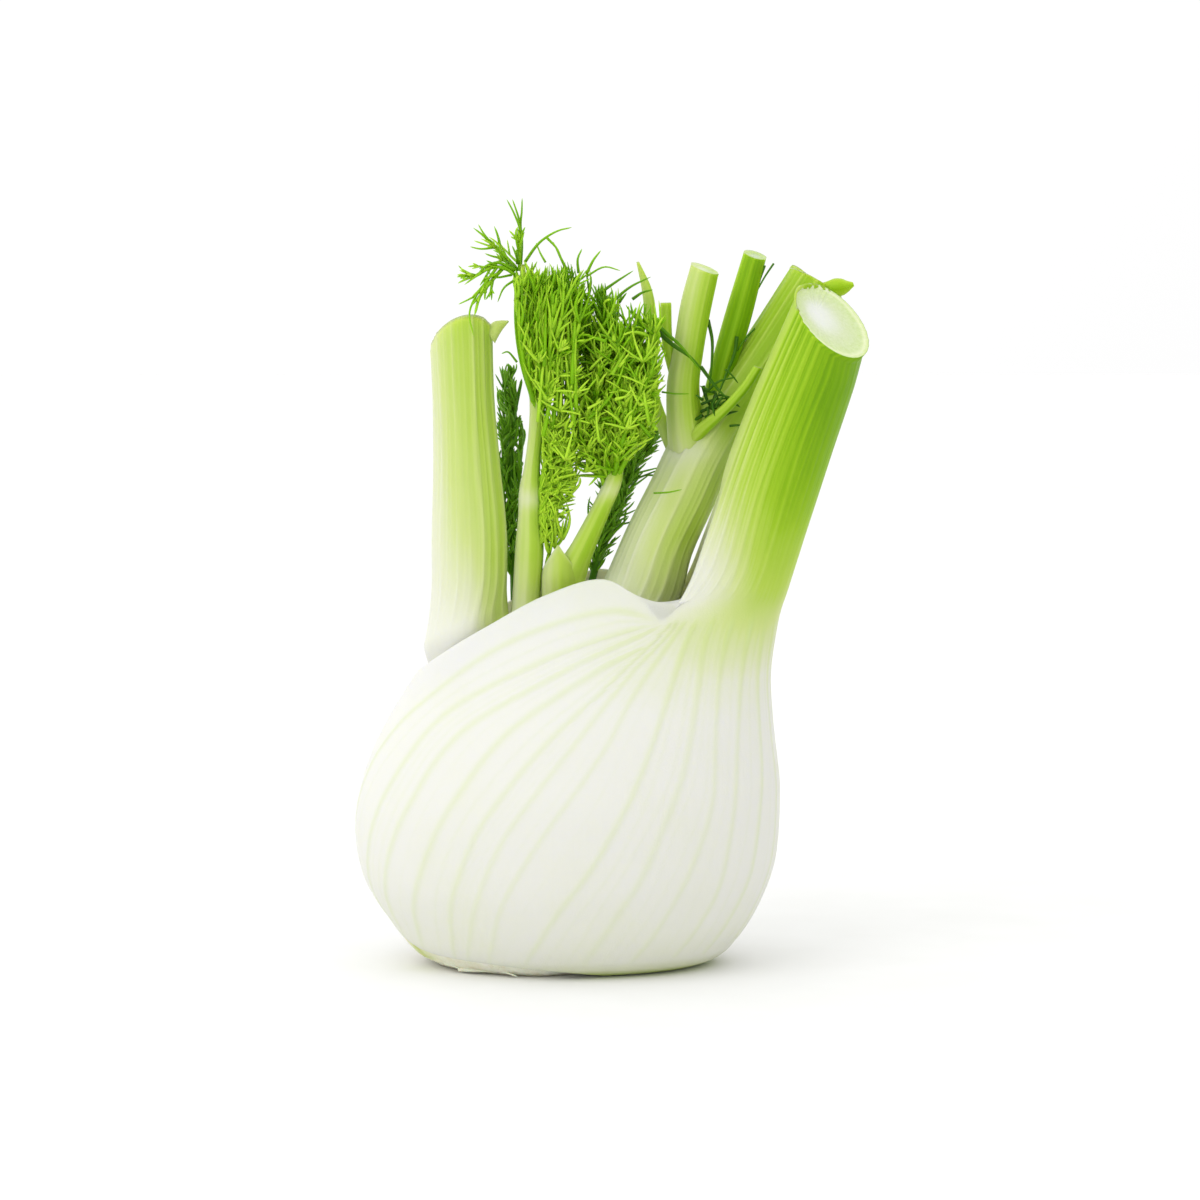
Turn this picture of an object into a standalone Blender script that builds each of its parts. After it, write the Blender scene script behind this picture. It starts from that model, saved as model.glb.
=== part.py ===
"""A trimmed fennel bulb as picked: a root plate, leaf bases that clasp one another,
ribbed stalks with cut ends, and feathery fronds.

Lengths here are millimetres, and MM turns them into metres when a mesh is made.
X runs to the right, Y away from the front and Z up. The bulb stands on z = 0.
"""

import math
import random

import bmesh
import bpy
import numpy as np
from mathutils import Matrix, Vector

MM = 0.001

# Driving dimensions of the bulb
GAP = 0.35  # between touching pieces
WALL = 4.0  # thickness of the outer sheath
EDGE = 1.2  # thickness of its free margin
PLATE_TOP = 6.0  # height of the root plate inside the sheath
RIB = 0.45  # height of a stalk's ribs
VEIN = 0.22  # height of the same ribs where they fan out over the bulb
OUTER_RIBS = 18
SHEATH_STEPS = 54
INNER_STEPS = 22
HALF_GRIP = 150.0  # degrees of the thick stalk that the sheath's outer face covers, each way
HALF_FACE = 26.0  # degrees of the stalk's inner face, each way

# Outline of the bulb: (height, left edge, right edge, half depth)
BULB = [
    (0.0, -30.0, 31.0, 21.0),
    (1.2, -33.0, 35.0, 23.8),
    (3.0, -35.8, 38.0, 26.2),
    (5.6, -38.1, 40.4, 28.4),
    (10.2, -41.2, 43.7, 31.2),
    (15.0, -44.6, 46.2, 33.2),
    (19.5, -47.0, 48.0, 34.8),
    (24.0, -48.4, 49.3, 35.7),
    (29.0, -49.1, 50.0, 36.2),
    (34.0, -49.2, 50.3, 36.3),
    (38.0, -48.8, 50.4, 36.1),
    (43.0, -47.7, 50.3, 35.3),
    (47.5, -46.3, 49.8, 34.0),
    (57.0, -41.9, 48.7, 30.5),
    (69.0, -34.9, 48.2, 24.0),
    (80.0, -32.1, 50.0, 18.5),
    (90.0, -31.4, 52.7, 14.6),
    (100.0, -31.0, 56.0, 12.6),
    (114.0, -31.0, 60.4, 11.8),
]

# Height of the outer sheath's rim: (degrees from the thick stalk, height)
RIM = [
    (70.0, 81.2),
    (75.0, 84.2),
    (81.0, 87.0),
    (87.0, 89.8),
    (92.0, 91.2),
    (100.0, 90.0),
    (109.0, 88.0),
    (118.0, 85.8),
    (126.0, 83.0),
    (138.0, 77.6),
    (150.0, 74.2),
    (165.0, 70.8),
    (180.0, 67.5),
]

# Lower edge of the outer sheath, trimmed away on the left: (degrees, height)
TRIM = [
    (0.0, 0.2),
    (75.0, 0.2),
    (90.0, 1.4),
    (100.0, 2.1),
    (120.0, 3.3),
    (145.0, 4.2),
    (155.0, 5.0),
    (165.0, 6.8),
    (180.0, 9.0),
]

# The outer leaf, row by row from its base to its thick stalk: height at its middle line,
# then degrees and height of its front and back margins, then how its veins crowd towards
# its middle, and how near to its margins it leaves the height of the middle
SHEATH = [
    (0.2, 207.0, 0.2, 151.0, 0.2, 1.0, 2.0),
    (3.0, 207.0, 3.0, 151.0, 3.0, 1.0, 2.0),
    (8.0, 207.0, 8.0, 151.0, 8.0, 1.02, 2.0),
    (15.0, 207.0, 15.0, 151.0, 15.0, 1.1, 2.0),
    (25.0, 206.0, 25.0, 151.0, 25.0, 1.2, 2.0),
    (36.0, 205.0, 36.0, 151.0, 36.0, 1.33, 2.0),
    (47.0, 204.0, 46.5, 151.0, 47.0, 1.45, 2.0),
    (57.0, 202.0, 55.0, 151.0, 57.0, 1.55, 2.0),
    (65.0, 194.0, 62.5, 151.0, 66.0, 1.6, 2.0),
    (70.0, 180.0, 67.5, 147.0, 75.0, 1.6, 2.2),
    (74.0, 157.0, 72.6, 135.0, 79.0, 1.55, 2.8),
    (77.5, 133.0, 79.9, 122.0, 84.4, 1.45, 3.6),
    (80.5, 111.0, 87.5, 107.0, 88.4, 1.3, 5.0),
    (83.0, 93.0, 91.2, 92.0, 91.2, 1.15, 7.0),
    (85.5, 79.0, 86.1, 79.0, 86.1, 1.05, 9.0),
    (88.0, 71.0, 81.6, 71.0, 81.6, 1.0, 9.0),
    (93.0, 65.0, 87.0, 65.0, 87.0, 1.0, 8.0),
    (99.0, 63.5, 95.5, 63.5, 95.5, 1.0, 6.0),
    (106.0, 62.8, 104.0, 62.8, 104.0, 1.0, 4.0),
    (113.0, 62.2, 112.0, 62.2, 112.0, 1.0, 4.0),
]
STALK_FIRST = 12.0  # row where the sheath starts to close into the stalk
STALK_WHOLE = 19.0  # row where it is all stalk
# Height of the thick stalk's centre line at each row from STALK_FIRST on
STALK_ROWS = [83.0, 86.0, 88.5, 91.5, 96.0, 102.5, 109.5, 117.0, 125.0, 132.0, 139.0]

THICK_CUT = (-4.1, -6.0)  # how far the cut rises to the right and to the front
TIP_SHARES = (0.5, 1.0)  # places of the last two loops on the way to a cut

# Centre lines: (height, x, y, half width, half depth)
THICK_STALK = [
    (70.0, 35.0, -1.5, 13.0, 12.5),
    (82.0, 37.6, -3.0, 12.9, 11.8),
    (90.0, 40.1, -4.2, 12.2, 11.4),
    (100.0, 43.4, -5.6, 11.6, 11.2),
    (112.0, 47.3, -7.0, 11.4, 11.0),
    (124.0, 51.4, -8.0, 11.1, 10.8),
    (138.0, 56.6, -8.7, 10.5, 10.4),
    (150.4, 61.3, -9.0, 9.6, 10.0),
]
LEFT_STALK = [
    (70.0, -22.6, -1.0, 10.5, 12.0),
    (84.0, -22.3, -1.0, 9.2, 9.6),
    (100.0, -22.2, -1.0, 9.1, 8.6),
    (117.0, -22.8, -1.0, 8.1, 8.0),
    (133.0, -23.5, -1.2, 7.5, 7.6),
    (145.0, -23.9, -1.5, 7.6, 7.5),
]
FORKED_STALK = [
    (70.0, 11.5, 2.5, 9.5, 11.0),
    (80.0, 14.4, 3.0, 8.8, 9.6),
    (87.0, 17.9, 3.8, 9.4, 8.8),
    (98.3, 22.0, 5.2, 8.6, 8.2),
    (110.0, 27.6, 6.8, 8.3, 7.8),
    (119.0, 31.8, 8.2, 8.0, 7.8),
    (127.0, 36.9, 10.2, 7.2, 7.4),
    (134.0, 42.2, 11.8, 7.0, 7.2),
    (146.0, 50.6, 12.8, 7.2, 7.2),
    (158.3, 58.6, 13.2, 7.3, 7.2),
]
SLIM_STALK = [
    (70.0, -9.5, -1.5, 4.4, 9.0),
    (87.0, -8.9, -2.0, 3.4, 3.9),
    (98.0, -8.2, -2.2, 3.4, 3.4),
    (106.0, -8.2, -2.3, 2.7, 2.8),
    (110.0, -8.1, -2.3, 2.7, 2.8),
    (116.0, -7.6, -2.3, 2.0, 2.2),
    (128.0, -6.4, -2.0, 1.9, 2.0),
    (146.0, -8.0, -1.5, 1.5, 1.5),
    (163.0, -9.9, -1.5, 0.7, 0.7),
]
LEANING_STALK = [
    (70.0, 0.3, -1.5, 4.6, 8.0),
    (84.0, 0.2, -2.2, 3.9, 4.4),
    (90.0, 0.9, -2.6, 3.9, 3.9),
    (98.0, 4.4, -2.8, 2.9, 3.0),
    (107.0, 8.6, -2.8, 2.3, 2.4),
    (113.0, 11.2, -2.6, 2.1, 2.2),
    (118.0, 12.4, -2.4, 1.5, 1.6),
]

# Planes between the leaf bases inside the sheath: (height, left-slim, slim-leaning,
# leaning-forked, right end of the forked leaf's base)
SPLITS = [
    (6.0, -9.0, -4.0, 3.0, 40.0),
    (36.0, -16.0, -5.0, 6.5, 48.0),
    (60.0, -15.0, -5.0, 6.5, 40.0),
    (66.0, -14.4, -4.9, 6.4, 35.0),
    (72.0, -13.6, -4.8, 6.4, 30.0),
    (80.0, -12.9, -4.8, 6.6, 24.5),
    (90.0, -12.5, -4.7, 7.4, 24.0),
]


def through(stations):
    """A smooth function through rows of (position, value, ...)."""
    rows = np.array(stations, dtype=float)
    places = rows[:, 0]
    values = rows[:, 1:]
    slopes = np.gradient(values, places, axis=0)

    def at(place):
        i = int(np.clip(np.searchsorted(places, place) - 1, 0, len(places) - 2))
        step = places[i + 1] - places[i]
        t = min(max((place - places[i]) / step, 0.0), 1.0)
        return (
            (2 * t**3 - 3 * t**2 + 1) * values[i]
            + (t**3 - 2 * t**2 + t) * step * slopes[i]
            + (3 * t**2 - 2 * t**3) * values[i + 1]
            + (t**3 - t**2) * step * slopes[i + 1]
        )

    return at


def ease(t):
    t = min(max(t, 0.0), 1.0)
    return t * t * (3 - 2 * t)


bulb_at = through(BULB)
rim_at = through(RIM)
sheath_at = through([(row, *values) for row, values in enumerate(SHEATH)])
split_at = through(SPLITS)
thick_line = through(THICK_STALK)
left_line = through(LEFT_STALK)
forked_line = through(FORKED_STALK)
slim_line = through(SLIM_STALK)
leaning_line = through(LEANING_STALK)


def around(degrees):
    """The angle from the thick stalk, 0 to 180, of any angle."""
    turned = abs(degrees) % 360.0
    return min(turned, 360.0 - turned)


def rim_height(degrees):
    return float(rim_at(max(around(degrees), RIM[0][0]))[0])


def trim_height(degrees):
    turns, heights = zip(*TRIM)
    return float(np.interp(around(degrees), turns, heights))


def wall_at(degrees, height):
    """Thickness of the sheath, which thins to its rim."""
    below = (rim_height(degrees) - height) / 25.0
    return EDGE + (WALL - EDGE) * ease(below)


def bulb_point(degrees, height, inset=0.0):
    """A point on the bulb's outline: 0 degrees is the right, 90 the front."""
    left, right, depth = bulb_at(height)
    angle = math.radians(degrees)
    x = (left + right) / 2 + ((right - left) / 2 - inset) * math.cos(angle)
    return np.array((x, -(depth - inset) * math.sin(angle), height))


def stalk_frame(line, height):
    """Centre, upward axis, right and front directions, and radii of a stalk."""
    x, y, across, depth = line(height)
    ahead = line(height + 0.5)[:2] - line(height - 0.5)[:2]
    axis = np.array((ahead[0], ahead[1], 1.0))
    axis /= np.linalg.norm(axis)
    front = np.array((0.0, -1.0, 0.0))
    right = np.cross(axis, front)
    right *= -1.0 if right[0] < 0 else 1.0
    right /= np.linalg.norm(right)
    front = np.cross(right, axis)
    front *= -1.0 if front[1] > 0 else 1.0
    return np.array((x, y, height)), axis, right, front, across, depth


def stalk_point(line, height, degrees, rib=0.0, cut=(0.0, 0.0)):
    """A point round a stalk. cut tips the section: rise to the right and to the front."""
    centre, axis, right, front, across, depth = stalk_frame(line, height)
    angle = math.radians(degrees)
    rise = cut[0] * math.cos(angle) + cut[1] * math.sin(angle)
    return (
        centre
        + right * (across + rib) * math.cos(angle)
        + front * (depth + rib) * math.sin(angle)
        + axis * rise
    )


def material(name, colour, roughness):
    made = bpy.data.materials.new(name)
    made.use_nodes = True
    shader = made.node_tree.nodes["Principled BSDF"]
    shader.inputs["Base Color"].default_value = (*colour, 1.0)
    shader.inputs["Roughness"].default_value = roughness
    shader.inputs["Metallic"].default_value = 0.0
    return made


def lofted(name, loops, collection):
    """One closed solid through loops of equal length, capped at both ends."""
    build = bmesh.new()
    rings = [[build.verts.new(Vector(point) * MM) for point in loop] for loop in loops]
    for lower, upper in zip(rings, rings[1:]):
        for i in range(len(lower)):
            j = (i + 1) % len(lower)
            build.faces.new((lower[i], lower[j], upper[j], upper[i]))
    build.faces.new(rings[0][::-1])
    build.faces.new(rings[-1])
    if build.calc_volume(signed=True) < 0:
        bmesh.ops.reverse_faces(build, faces=build.faces)
    mesh = bpy.data.meshes.new(name)
    build.to_mesh(mesh)
    build.free()
    made = bpy.data.objects.new(name, mesh)
    collection.objects.link(made)
    return made


def finish(made, look):
    made.data.materials.clear()
    made.data.materials.append(look)
    made.data.shade_smooth()
    made.data.set_sharp_from_angle(angle=math.radians(40.0))
    return made


def united(base, pieces):
    """Joins the collection's pieces to the base in one union, and removes them."""
    union = base.modifiers.new("union", "BOOLEAN")
    union.operation = "UNION"
    union.operand_type = "COLLECTION"
    union.collection = pieces
    union.solver = "MANIFOLD"
    bpy.context.view_layer.update()
    evaluated = base.evaluated_get(bpy.context.evaluated_depsgraph_get())
    joined = bpy.data.meshes.new_from_object(evaluated)
    base.modifiers.clear()
    base.data = joined
    for piece in list(pieces.objects):
        bpy.data.objects.remove(piece)
    bpy.data.collections.remove(pieces)
    return base


def piece_collection(name):
    made = bpy.data.collections.new(name)
    bpy.context.scene.collection.children.link(made)
    return made


def root_plate(collection):
    """The trimmed root plate: it shows below the sheath on the left."""
    steps = 48
    inner = WALL + 2.5 * GAP

    def ring(height_of, inset_of):
        loop = []
        for step in range(steps):
            degrees = 360.0 * step / steps
            height = height_of(degrees)
            loop.append(bulb_point(degrees, height, inset_of(degrees)))
        return loop

    def outer(degrees):
        return inner + (0.9 - inner) * ease((around(degrees) - 80.0) / 25.0)

    def lip(degrees):
        return min(max(trim_height(degrees) - GAP - 0.1, 0.9), PLATE_TOP - 0.8)

    loops = [
        ring(lambda degrees: 0.0, lambda degrees: outer(degrees) + 0.4),
        ring(lambda degrees: 0.45, outer),
        ring(lip, outer),
        ring(lambda degrees: lip(degrees) + 0.05, lambda degrees: inner + 0.9),
        ring(lambda degrees: PLATE_TOP, lambda degrees: inner + 1.4),
    ]
    return lofted("root_plate", loops, collection)


def outer_leaf_point(row, u, inner):
    """A point of the outer leaf: u runs from the back margin, -1, to the front one, 1."""
    at_row = min(row, len(SHEATH) - 1.0)
    middle, front_turn, front_z, back_turn, back_z, crowd, dip = sheath_at(at_row)
    turn, margin_z = (front_turn, front_z) if u >= 0 else (back_turn, back_z)
    degrees = math.copysign(turn * abs(u) ** (1.0 if inner else crowd), u)
    height = middle + (margin_z - middle) * abs(u) ** dip
    trimmed = trim_height(degrees)
    height += trimmed * max(1.0 - middle / 40.0, 0.0)
    phase = 2 * math.pi * OUTER_RIBS * (u + 1) / 2
    rib = VEIN * (1 + math.cos(phase)) / 2
    if inner:
        on_bulb = bulb_point(degrees, height, wall_at(degrees, height))
    else:
        on_bulb = bulb_point(degrees, height, VEIN - rib)
    if row < 8.0:
        return on_bulb
    first = (8.0 + 6.5 * u * u) if inner else (STALK_FIRST + 2.5 * u * u)
    share = ease((row - first) / (STALK_WHOLE - first))
    place = max(row - STALK_FIRST, 0.0)
    whole = int(min(place, len(STALK_ROWS) - 2))
    high = STALK_ROWS[whole] + (STALK_ROWS[whole + 1] - STALK_ROWS[whole]) * (place - whole)
    on_stalk = thick_stalk_point(high, u, inner)
    return on_bulb + (on_stalk - on_bulb) * share


def thick_stalk_point(height, u, inner, tip=(0.0, 0.0)):
    """A point round the thick stalk: its outer side carries the ribs."""
    if inner:
        return stalk_point(thick_line, height, 180.0 - HALF_FACE * u, 0.0, tip)
    ribs = RIB * (math.cos(2 * math.pi * OUTER_RIBS * (u + 1) / 2) - 1) / 2
    return stalk_point(thick_line, height, HALF_GRIP * u, ribs, tip)


def outer_leaf(collection):
    """The outermost leaf: a sheath round the bulb that closes into the thick stalk."""
    outer = np.linspace(-1.0, 1.0, SHEATH_STEPS + 1)
    inner = np.linspace(1.0, -1.0, INNER_STEPS + 1)
    rows = [float(row) for row in range(int(STALK_FIRST) + len(STALK_ROWS))]
    rows = sorted(rows + [9.5, 10.5, 11.5, 12.5, 13.5, 14.5])
    loops = []
    for row in rows:
        loop = [outer_leaf_point(row, u, False) for u in outer]
        loop += [outer_leaf_point(row, u, True) for u in inner]
        loops.append(loop)
    top = THICK_STALK[-1][0]
    for share in TIP_SHARES:
        high = STALK_ROWS[-1] + (top - STALK_ROWS[-1]) * share
        tip = (THICK_CUT[0] * share, THICK_CUT[1] * share)
        loop = [thick_stalk_point(high, u, False, tip) for u in outer]
        loop += [thick_stalk_point(high, u, True, tip) for u in inner]
        loops.append(loop)
    return lofted("outer_leaf", loops, collection)


def base_point(height, low_x, high_x, place, side):
    """A point of a leaf base that fills the sheath between two planes."""
    left, right, _ = bulb_at(height)
    middle, half = (left + right) / 2, (right - left) / 2
    wall = WALL + 2 * GAP
    reach = half - wall * 0.5
    start = math.degrees(math.acos(min(max((high_x - middle) / reach, -0.999), 0.999)))
    end = math.degrees(math.acos(min(max((low_x - middle) / reach, -0.999), 0.999)))
    degrees = start + (end - start) * place
    above = height - rim_height(degrees)
    inset = (wall_at(degrees, height) + 5 * GAP) * (1.0 - ease((above - 1.0) / 6.0))
    point = bulb_point(side * degrees, height, inset)
    point[0] = min(max(point[0], low_x + GAP / 2), high_x - GAP / 2)
    return point


BASES = [6.5, 15.0, 36.0, 57.0, 64.0, 69.0]  # heights of the loops inside the sheath


def leaf_turns(steps):
    """Side of the leaf, share of the way across it, and angle of each point of a loop."""
    turns = []
    for step in range(2 * steps):
        side = 1 if step < steps else -1
        place = (step % steps + 0.5) / steps
        place = place if side > 0 else 1.0 - place
        turns.append((side, place, side * 180.0 * place))
    return turns


def leaf_loops(stalk, top, planes, steps, blend, heights, ribs, cut, rib=RIB):
    """Loops from a leaf's base inside the sheath to the cut end of its stalk."""

    def wave(degrees):
        return rib * (math.cos(math.radians(ribs * degrees)) - 1) / 2

    turns = leaf_turns(steps)
    loops = []
    for height in BASES + heights:
        share = ease((height - blend[0]) / (blend[1] - blend[0]))
        low_x, high_x = planes(height)
        loop = []
        for side, place, degrees in turns:
            on_stalk = stalk_point(stalk, height, degrees, share * wave(degrees))
            on_base = on_stalk
            if share < 1.0:
                on_base = base_point(height, low_x, high_x, place, side)
            loop.append(on_base + (on_stalk - on_base) * share)
        loops.append(loop)
    for share in TIP_SHARES:
        height = heights[-1] + (top - heights[-1]) * share
        tip = (cut[0] * share, cut[1] * share)
        loops.append([stalk_point(stalk, height, degrees, wave(degrees), tip) for _, _, degrees in turns])
    return loops


LEFT_END = -90.0  # x of a plane past the bulb's left edge


def left_leaf(collection):
    loops = leaf_loops(
        left_line,
        LEFT_STALK[-1][0],
        lambda z: (LEFT_END, split_at(z)[0]),
        18,
        (64.0, 92.0),
        [73.0, 77.0, 81.0, 86.0, 92.0, 100.0, 109.0, 118.0, 127.0, 136.0],
        12,
        (-1.0, 6.4),
    )
    return lofted("left_leaf", loops, collection)


def branch(name, points, radii, sides, collection, tip=(0.0, 0.0)):
    """A round branch through a few points, its end cut at a slant."""
    line = through([(p[2], p[0], p[1], r, r) for p, r in zip(points, radii)])
    low, high = points[0][2], points[-1][2]
    loops = []
    count = 2 * len(points) - 1
    for k in range(count):
        height = low + (high - low) * k / (count - 1)
        slant = tip if k == count - 1 else (0.0, 0.0)
        loops.append(
            [
                stalk_point(line, height, 360.0 * i / sides, 0.0, slant)
                for i in range(sides)
            ]
        )
    return lofted(name, loops, collection)


def forked_leaf(collection):
    """The leaf behind the thick stalk: a trunk with a node and its cut branches."""
    loops = leaf_loops(
        forked_line,
        FORKED_STALK[-1][0],
        lambda z: (split_at(z)[2], split_at(z)[3]),
        15,
        (64.0, 90.0),
        [73.0, 77.0, 81.0, 86.0, 90.0, 96.0, 104.0, 112.0, 119.0, 127.0, 134.0, 142.0, 151.0],
        10,
        (-1.5, -1.5),
    )
    trunk = lofted("forked_leaf", loops, collection)
    pieces = piece_collection("forked_leaf_pieces")
    branch(
        "upright_branch",
        [
            (29.5, 6.5, 116.0),
            (28.0, 4.6, 130.0),
            (28.0, 3.6, 140.0),
            (29.5, 3.2, 151.0),
            (32.4, 3.2, 162.0),
        ],
        (4.6, 3.7, 4.1, 3.9, 3.6),
        12,
        pieces,
        (-1.2, 0.0),
    )
    branch(
        "side_branch",
        [(31.0, 3.0, 124.0), (36.0, -1.0, 128.6), (41.4, -2.4, 134.5), (44.6, -2.6, 139.4)],
        (1.6, 1.3, 1.2, 1.1),
        6,
        pieces,
    )
    branch(
        "back_branch",
        [(33.0, 9.0, 122.0), (36.2, 9.4, 136.0), (40.2, 9.6, 150.0), (44.3, 9.8, 165.0)],
        (3.4, 3.1, 3.3, 2.9),
        10,
        pieces,
        (-0.4, -0.8),
    )
    branch(
        "pointed_branch",
        [
            (26.0, 9.5, 118.0),
            (20.6, 10.0, 132.0),
            (20.2, 9.0, 146.0),
            (19.0, 8.4, 157.0),
            (16.9, 8.2, 163.4),
        ],
        (1.8, 1.5, 1.4, 1.2, 0.35),
        6,
        pieces,
    )
    branch(
        "small_stub",
        [(26.5, 4.4, 134.0), (23.9, 4.6, 144.0), (23.4, 4.8, 154.0)],
        (1.4, 1.3, 1.3),
        6,
        pieces,
    )
    return united(trunk, pieces)


def needle(start, direction, length, thick, thin, sides, collection):
    """A slim tapered thread from start along direction."""
    build = bmesh.new()
    bmesh.ops.create_cone(
        build,
        cap_ends=True,
        segments=sides,
        radius1=thick * MM,
        radius2=thin * MM,
        depth=length * MM,
    )
    mesh = bpy.data.meshes.new("needle")
    turn = Vector(direction).to_track_quat("Z", "Y").to_matrix().to_4x4()
    middle = Vector(start + direction * length / 2) * MM
    build.transform(Matrix.Translation(middle) @ turn)
    build.to_mesh(mesh)
    build.free()
    made = bpy.data.objects.new("needle", mesh)
    collection.objects.link(made)


def unit(vector):
    vector = np.array(vector, dtype=float)
    return vector / np.linalg.norm(vector)


OBSTACLES = [
    (thick_line, 70.0, 152.0),
    (left_line, 70.0, 153.0),
    (forked_line, 70.0, 164.0),
]
CLEAR = 0.7  # room that a thread leaves to another piece
TRIES = 8  # ways that a thread is turned to find that room
SIDE_BRANCH = (1.0, 0.45)  # radius of a frond's side branch at its foot and tip
THREAD = (0.5, 0.22)
FORK = (0.42, 0.2)
REACH = (6.5, 12.0)  # length of a thread
LEAN = (0.45, 0.95)  # radians between it and its branch
FORK_AT = 0.45  # share of the thread where it forks
FORK_REACH = 0.6  # length of the fork, in lengths of the thread


def free_of_stalks(point, room=CLEAR):
    """True where a thread's point clears the thick stalks."""
    for line, low, high in OBSTACLES:
        if low <= point[2] <= high:
            centre, axis, right, front, across, depth = stalk_frame(line, point[2])
            away = point - centre
            away = away - axis * away.dot(axis)
            width = (away.dot(right) / (across + room)) ** 2
            width += (away.dot(front) / (depth + room)) ** 2
            if width < 1.0:
                return False
    return True


def frond(forks, territory, rng, collection, twigs):
    """Threads on side branches, forks, each (start, end): territory bounds their tips."""
    for start, end in forks:
        start, end = np.array(start, float), np.array(end, float)
        axis = unit(end - start)
        length = float(np.linalg.norm(end - start))
        needle(start, axis, length, *SIDE_BRANCH, 4, collection)
        aside = unit(np.cross(axis, (0.3, 1.0, 0.2)))
        above = np.cross(axis, aside)
        for k in range(twigs):
            along = 0.15 + 0.85 * k / max(twigs - 1, 1)
            root = start + axis * length * along
            turn = 2.4 * k + rng.uniform(-0.4, 0.4)
            for _ in range(TRIES):
                lean = rng.uniform(*LEAN)
                out = aside * math.cos(turn) + above * math.sin(turn)
                way = unit(axis * math.cos(lean) + out * math.sin(lean))
                reach = rng.uniform(*REACH)
                tip = root + way * reach
                samples = [root + way * reach * f for f in (0.35, 0.7, 1.0)]
                if all(territory(p) and free_of_stalks(p) for p in samples):
                    needle(root, way, reach, *THREAD, 3, collection)
                    fork = unit(way + 0.7 * unit(np.cross(way, tip - start)))
                    fork_root = root + way * reach * FORK_AT
                    fork_tip = fork_root + fork * reach * FORK_REACH
                    if territory(fork_tip) and free_of_stalks(fork_tip):
                        needle(fork_root, fork, reach * FORK_REACH, *FORK, 3, collection)
                    break
                turn += 1.1


MASS_PLANE = 3.2  # x of the plane between the two fronds' foliage, at the bulb's neck


def plane_x(height):
    return MASS_PLANE + 0.02 * (height - 100.0)


def left_frond(collection):
    loops = leaf_loops(
        slim_line,
        SLIM_STALK[-1][0],
        lambda z: (split_at(z)[0], split_at(z)[1]),
        6,
        (64.0, 86.0),
        [74.0, 80.0, 86.0, 98.0, 106.0, 110.0, 116.0, 128.0, 146.0],
        0,
        (0.0, 0.0),
        0.0,
    )
    stem = lofted("left_frond", loops, collection)
    pieces = piece_collection("left_frond_pieces")
    rng = random.Random(3)

    def territory(p):
        return (
            -26.0 < p[0] < plane_x(p[2]) - 0.4
            and -14.0 < p[1] < 5.0
            and (p[0] > -12.6 or p[2] > 153.0)
        )

    forks = [
        ((-8.0, -2.2, 109.0), (-3.5, -7.0, 124.0)),
        ((-7.5, -2.2, 117.0), (-11.0, -7.0, 132.0)),
        ((-7.2, -2.2, 120.0), (-1.5, -6.0, 137.0)),
        ((-6.4, -2.0, 128.0), (-7.0, -9.0, 143.0)),
        ((-6.6, -2.0, 131.0), (-1.0, 0.5, 147.0)),
        ((-7.0, -1.8, 138.0), (-11.0, -5.0, 152.0)),
        ((-7.8, -1.6, 143.0), (-3.0, -7.0, 156.0)),
        ((-8.0, -1.5, 146.0), (-1.0, -1.0, 160.0)),
        ((-9.5, -1.5, 157.0), (-19.0, -3.0, 162.0)),
        ((-9.7, -1.5, 160.0), (-4.0, -3.0, 168.0)),
        ((-9.8, -1.5, 161.0), (-10.6, -1.5, 169.5)),
    ]
    frond(forks, territory, rng, pieces, 5)
    return united(stem, pieces)


def centre_frond(collection):
    loops = leaf_loops(
        leaning_line,
        LEANING_STALK[-1][0],
        lambda z: (split_at(z)[1], split_at(z)[2]),
        6,
        (64.0, 84.0),
        [74.0, 79.0, 84.0, 90.0, 98.0, 107.0, 113.0],
        0,
        (0.0, 0.0),
        0.0,
    )
    stem = lofted("centre_frond", loops, collection)
    pieces = piece_collection("centre_frond_pieces")
    rng = random.Random(7)

    def territory(p):
        return (
            plane_x(p[2]) + 0.4 < p[0] < 24.0
            and -13.0 < p[1] < 5.5
            and p[2] > 95.0
        )

    forks = [
        ((6.5, -2.8, 103.0), (6.0, -6.5, 117.0)),
        ((11.2, -2.6, 113.0), (8.0, -7.0, 129.0)),
        ((11.6, -2.6, 114.0), (17.5, -5.0, 128.0)),
        ((11.8, -2.5, 115.5), (10.0, 0.5, 133.0)),
        ((11.9, -2.5, 116.0), (16.0, -7.5, 140.0)),
        ((12.0, -2.4, 117.0), (20.0, -2.0, 143.0)),
        ((10.0, 0.5, 130.0), (6.5, -3.0, 147.0)),
        ((15.0, -6.7, 136.0), (12.0, -5.0, 152.0)),
        ((18.6, -2.5, 138.0), (18.0, 0.0, 154.0)),
        ((8.0, -1.5, 139.0), (8.5, 1.0, 158.0)),
    ]
    frond(forks, territory, rng, pieces, 5)
    return united(stem, pieces)


def back_frond(name, points, forks, territory, seed, collection):
    """A darker frond behind the stalks, on its own slim stem."""
    stem = branch(name, points, (1.2,) * (len(points) - 1) + (0.6,), 6, collection)
    pieces = piece_collection(name + "_pieces")
    frond(forks, territory, random.Random(seed), pieces, 4)
    return united(stem, pieces)


def back_left_frond(collection):
    def territory(p):
        return -16.5 < p[0] < -8.0 and 8.0 < p[1] < 19.0 and 86.0 < p[2] < 140.0

    return back_frond(
        "back_left_frond",
        [(-12.0, 11.5, 84.0), (-12.4, 12.0, 100.0), (-12.8, 12.5, 118.0), (-12.6, 12.5, 132.0)],
        [
            ((-12.2, 11.8, 94.0), (-11.4, 12.5, 108.0)),
            ((-12.5, 12.1, 104.0), (-13.2, 13.5, 119.0)),
            ((-12.8, 12.5, 116.0), (-11.6, 13.0, 130.0)),
        ],
        territory,
        11,
        collection,
    )


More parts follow.
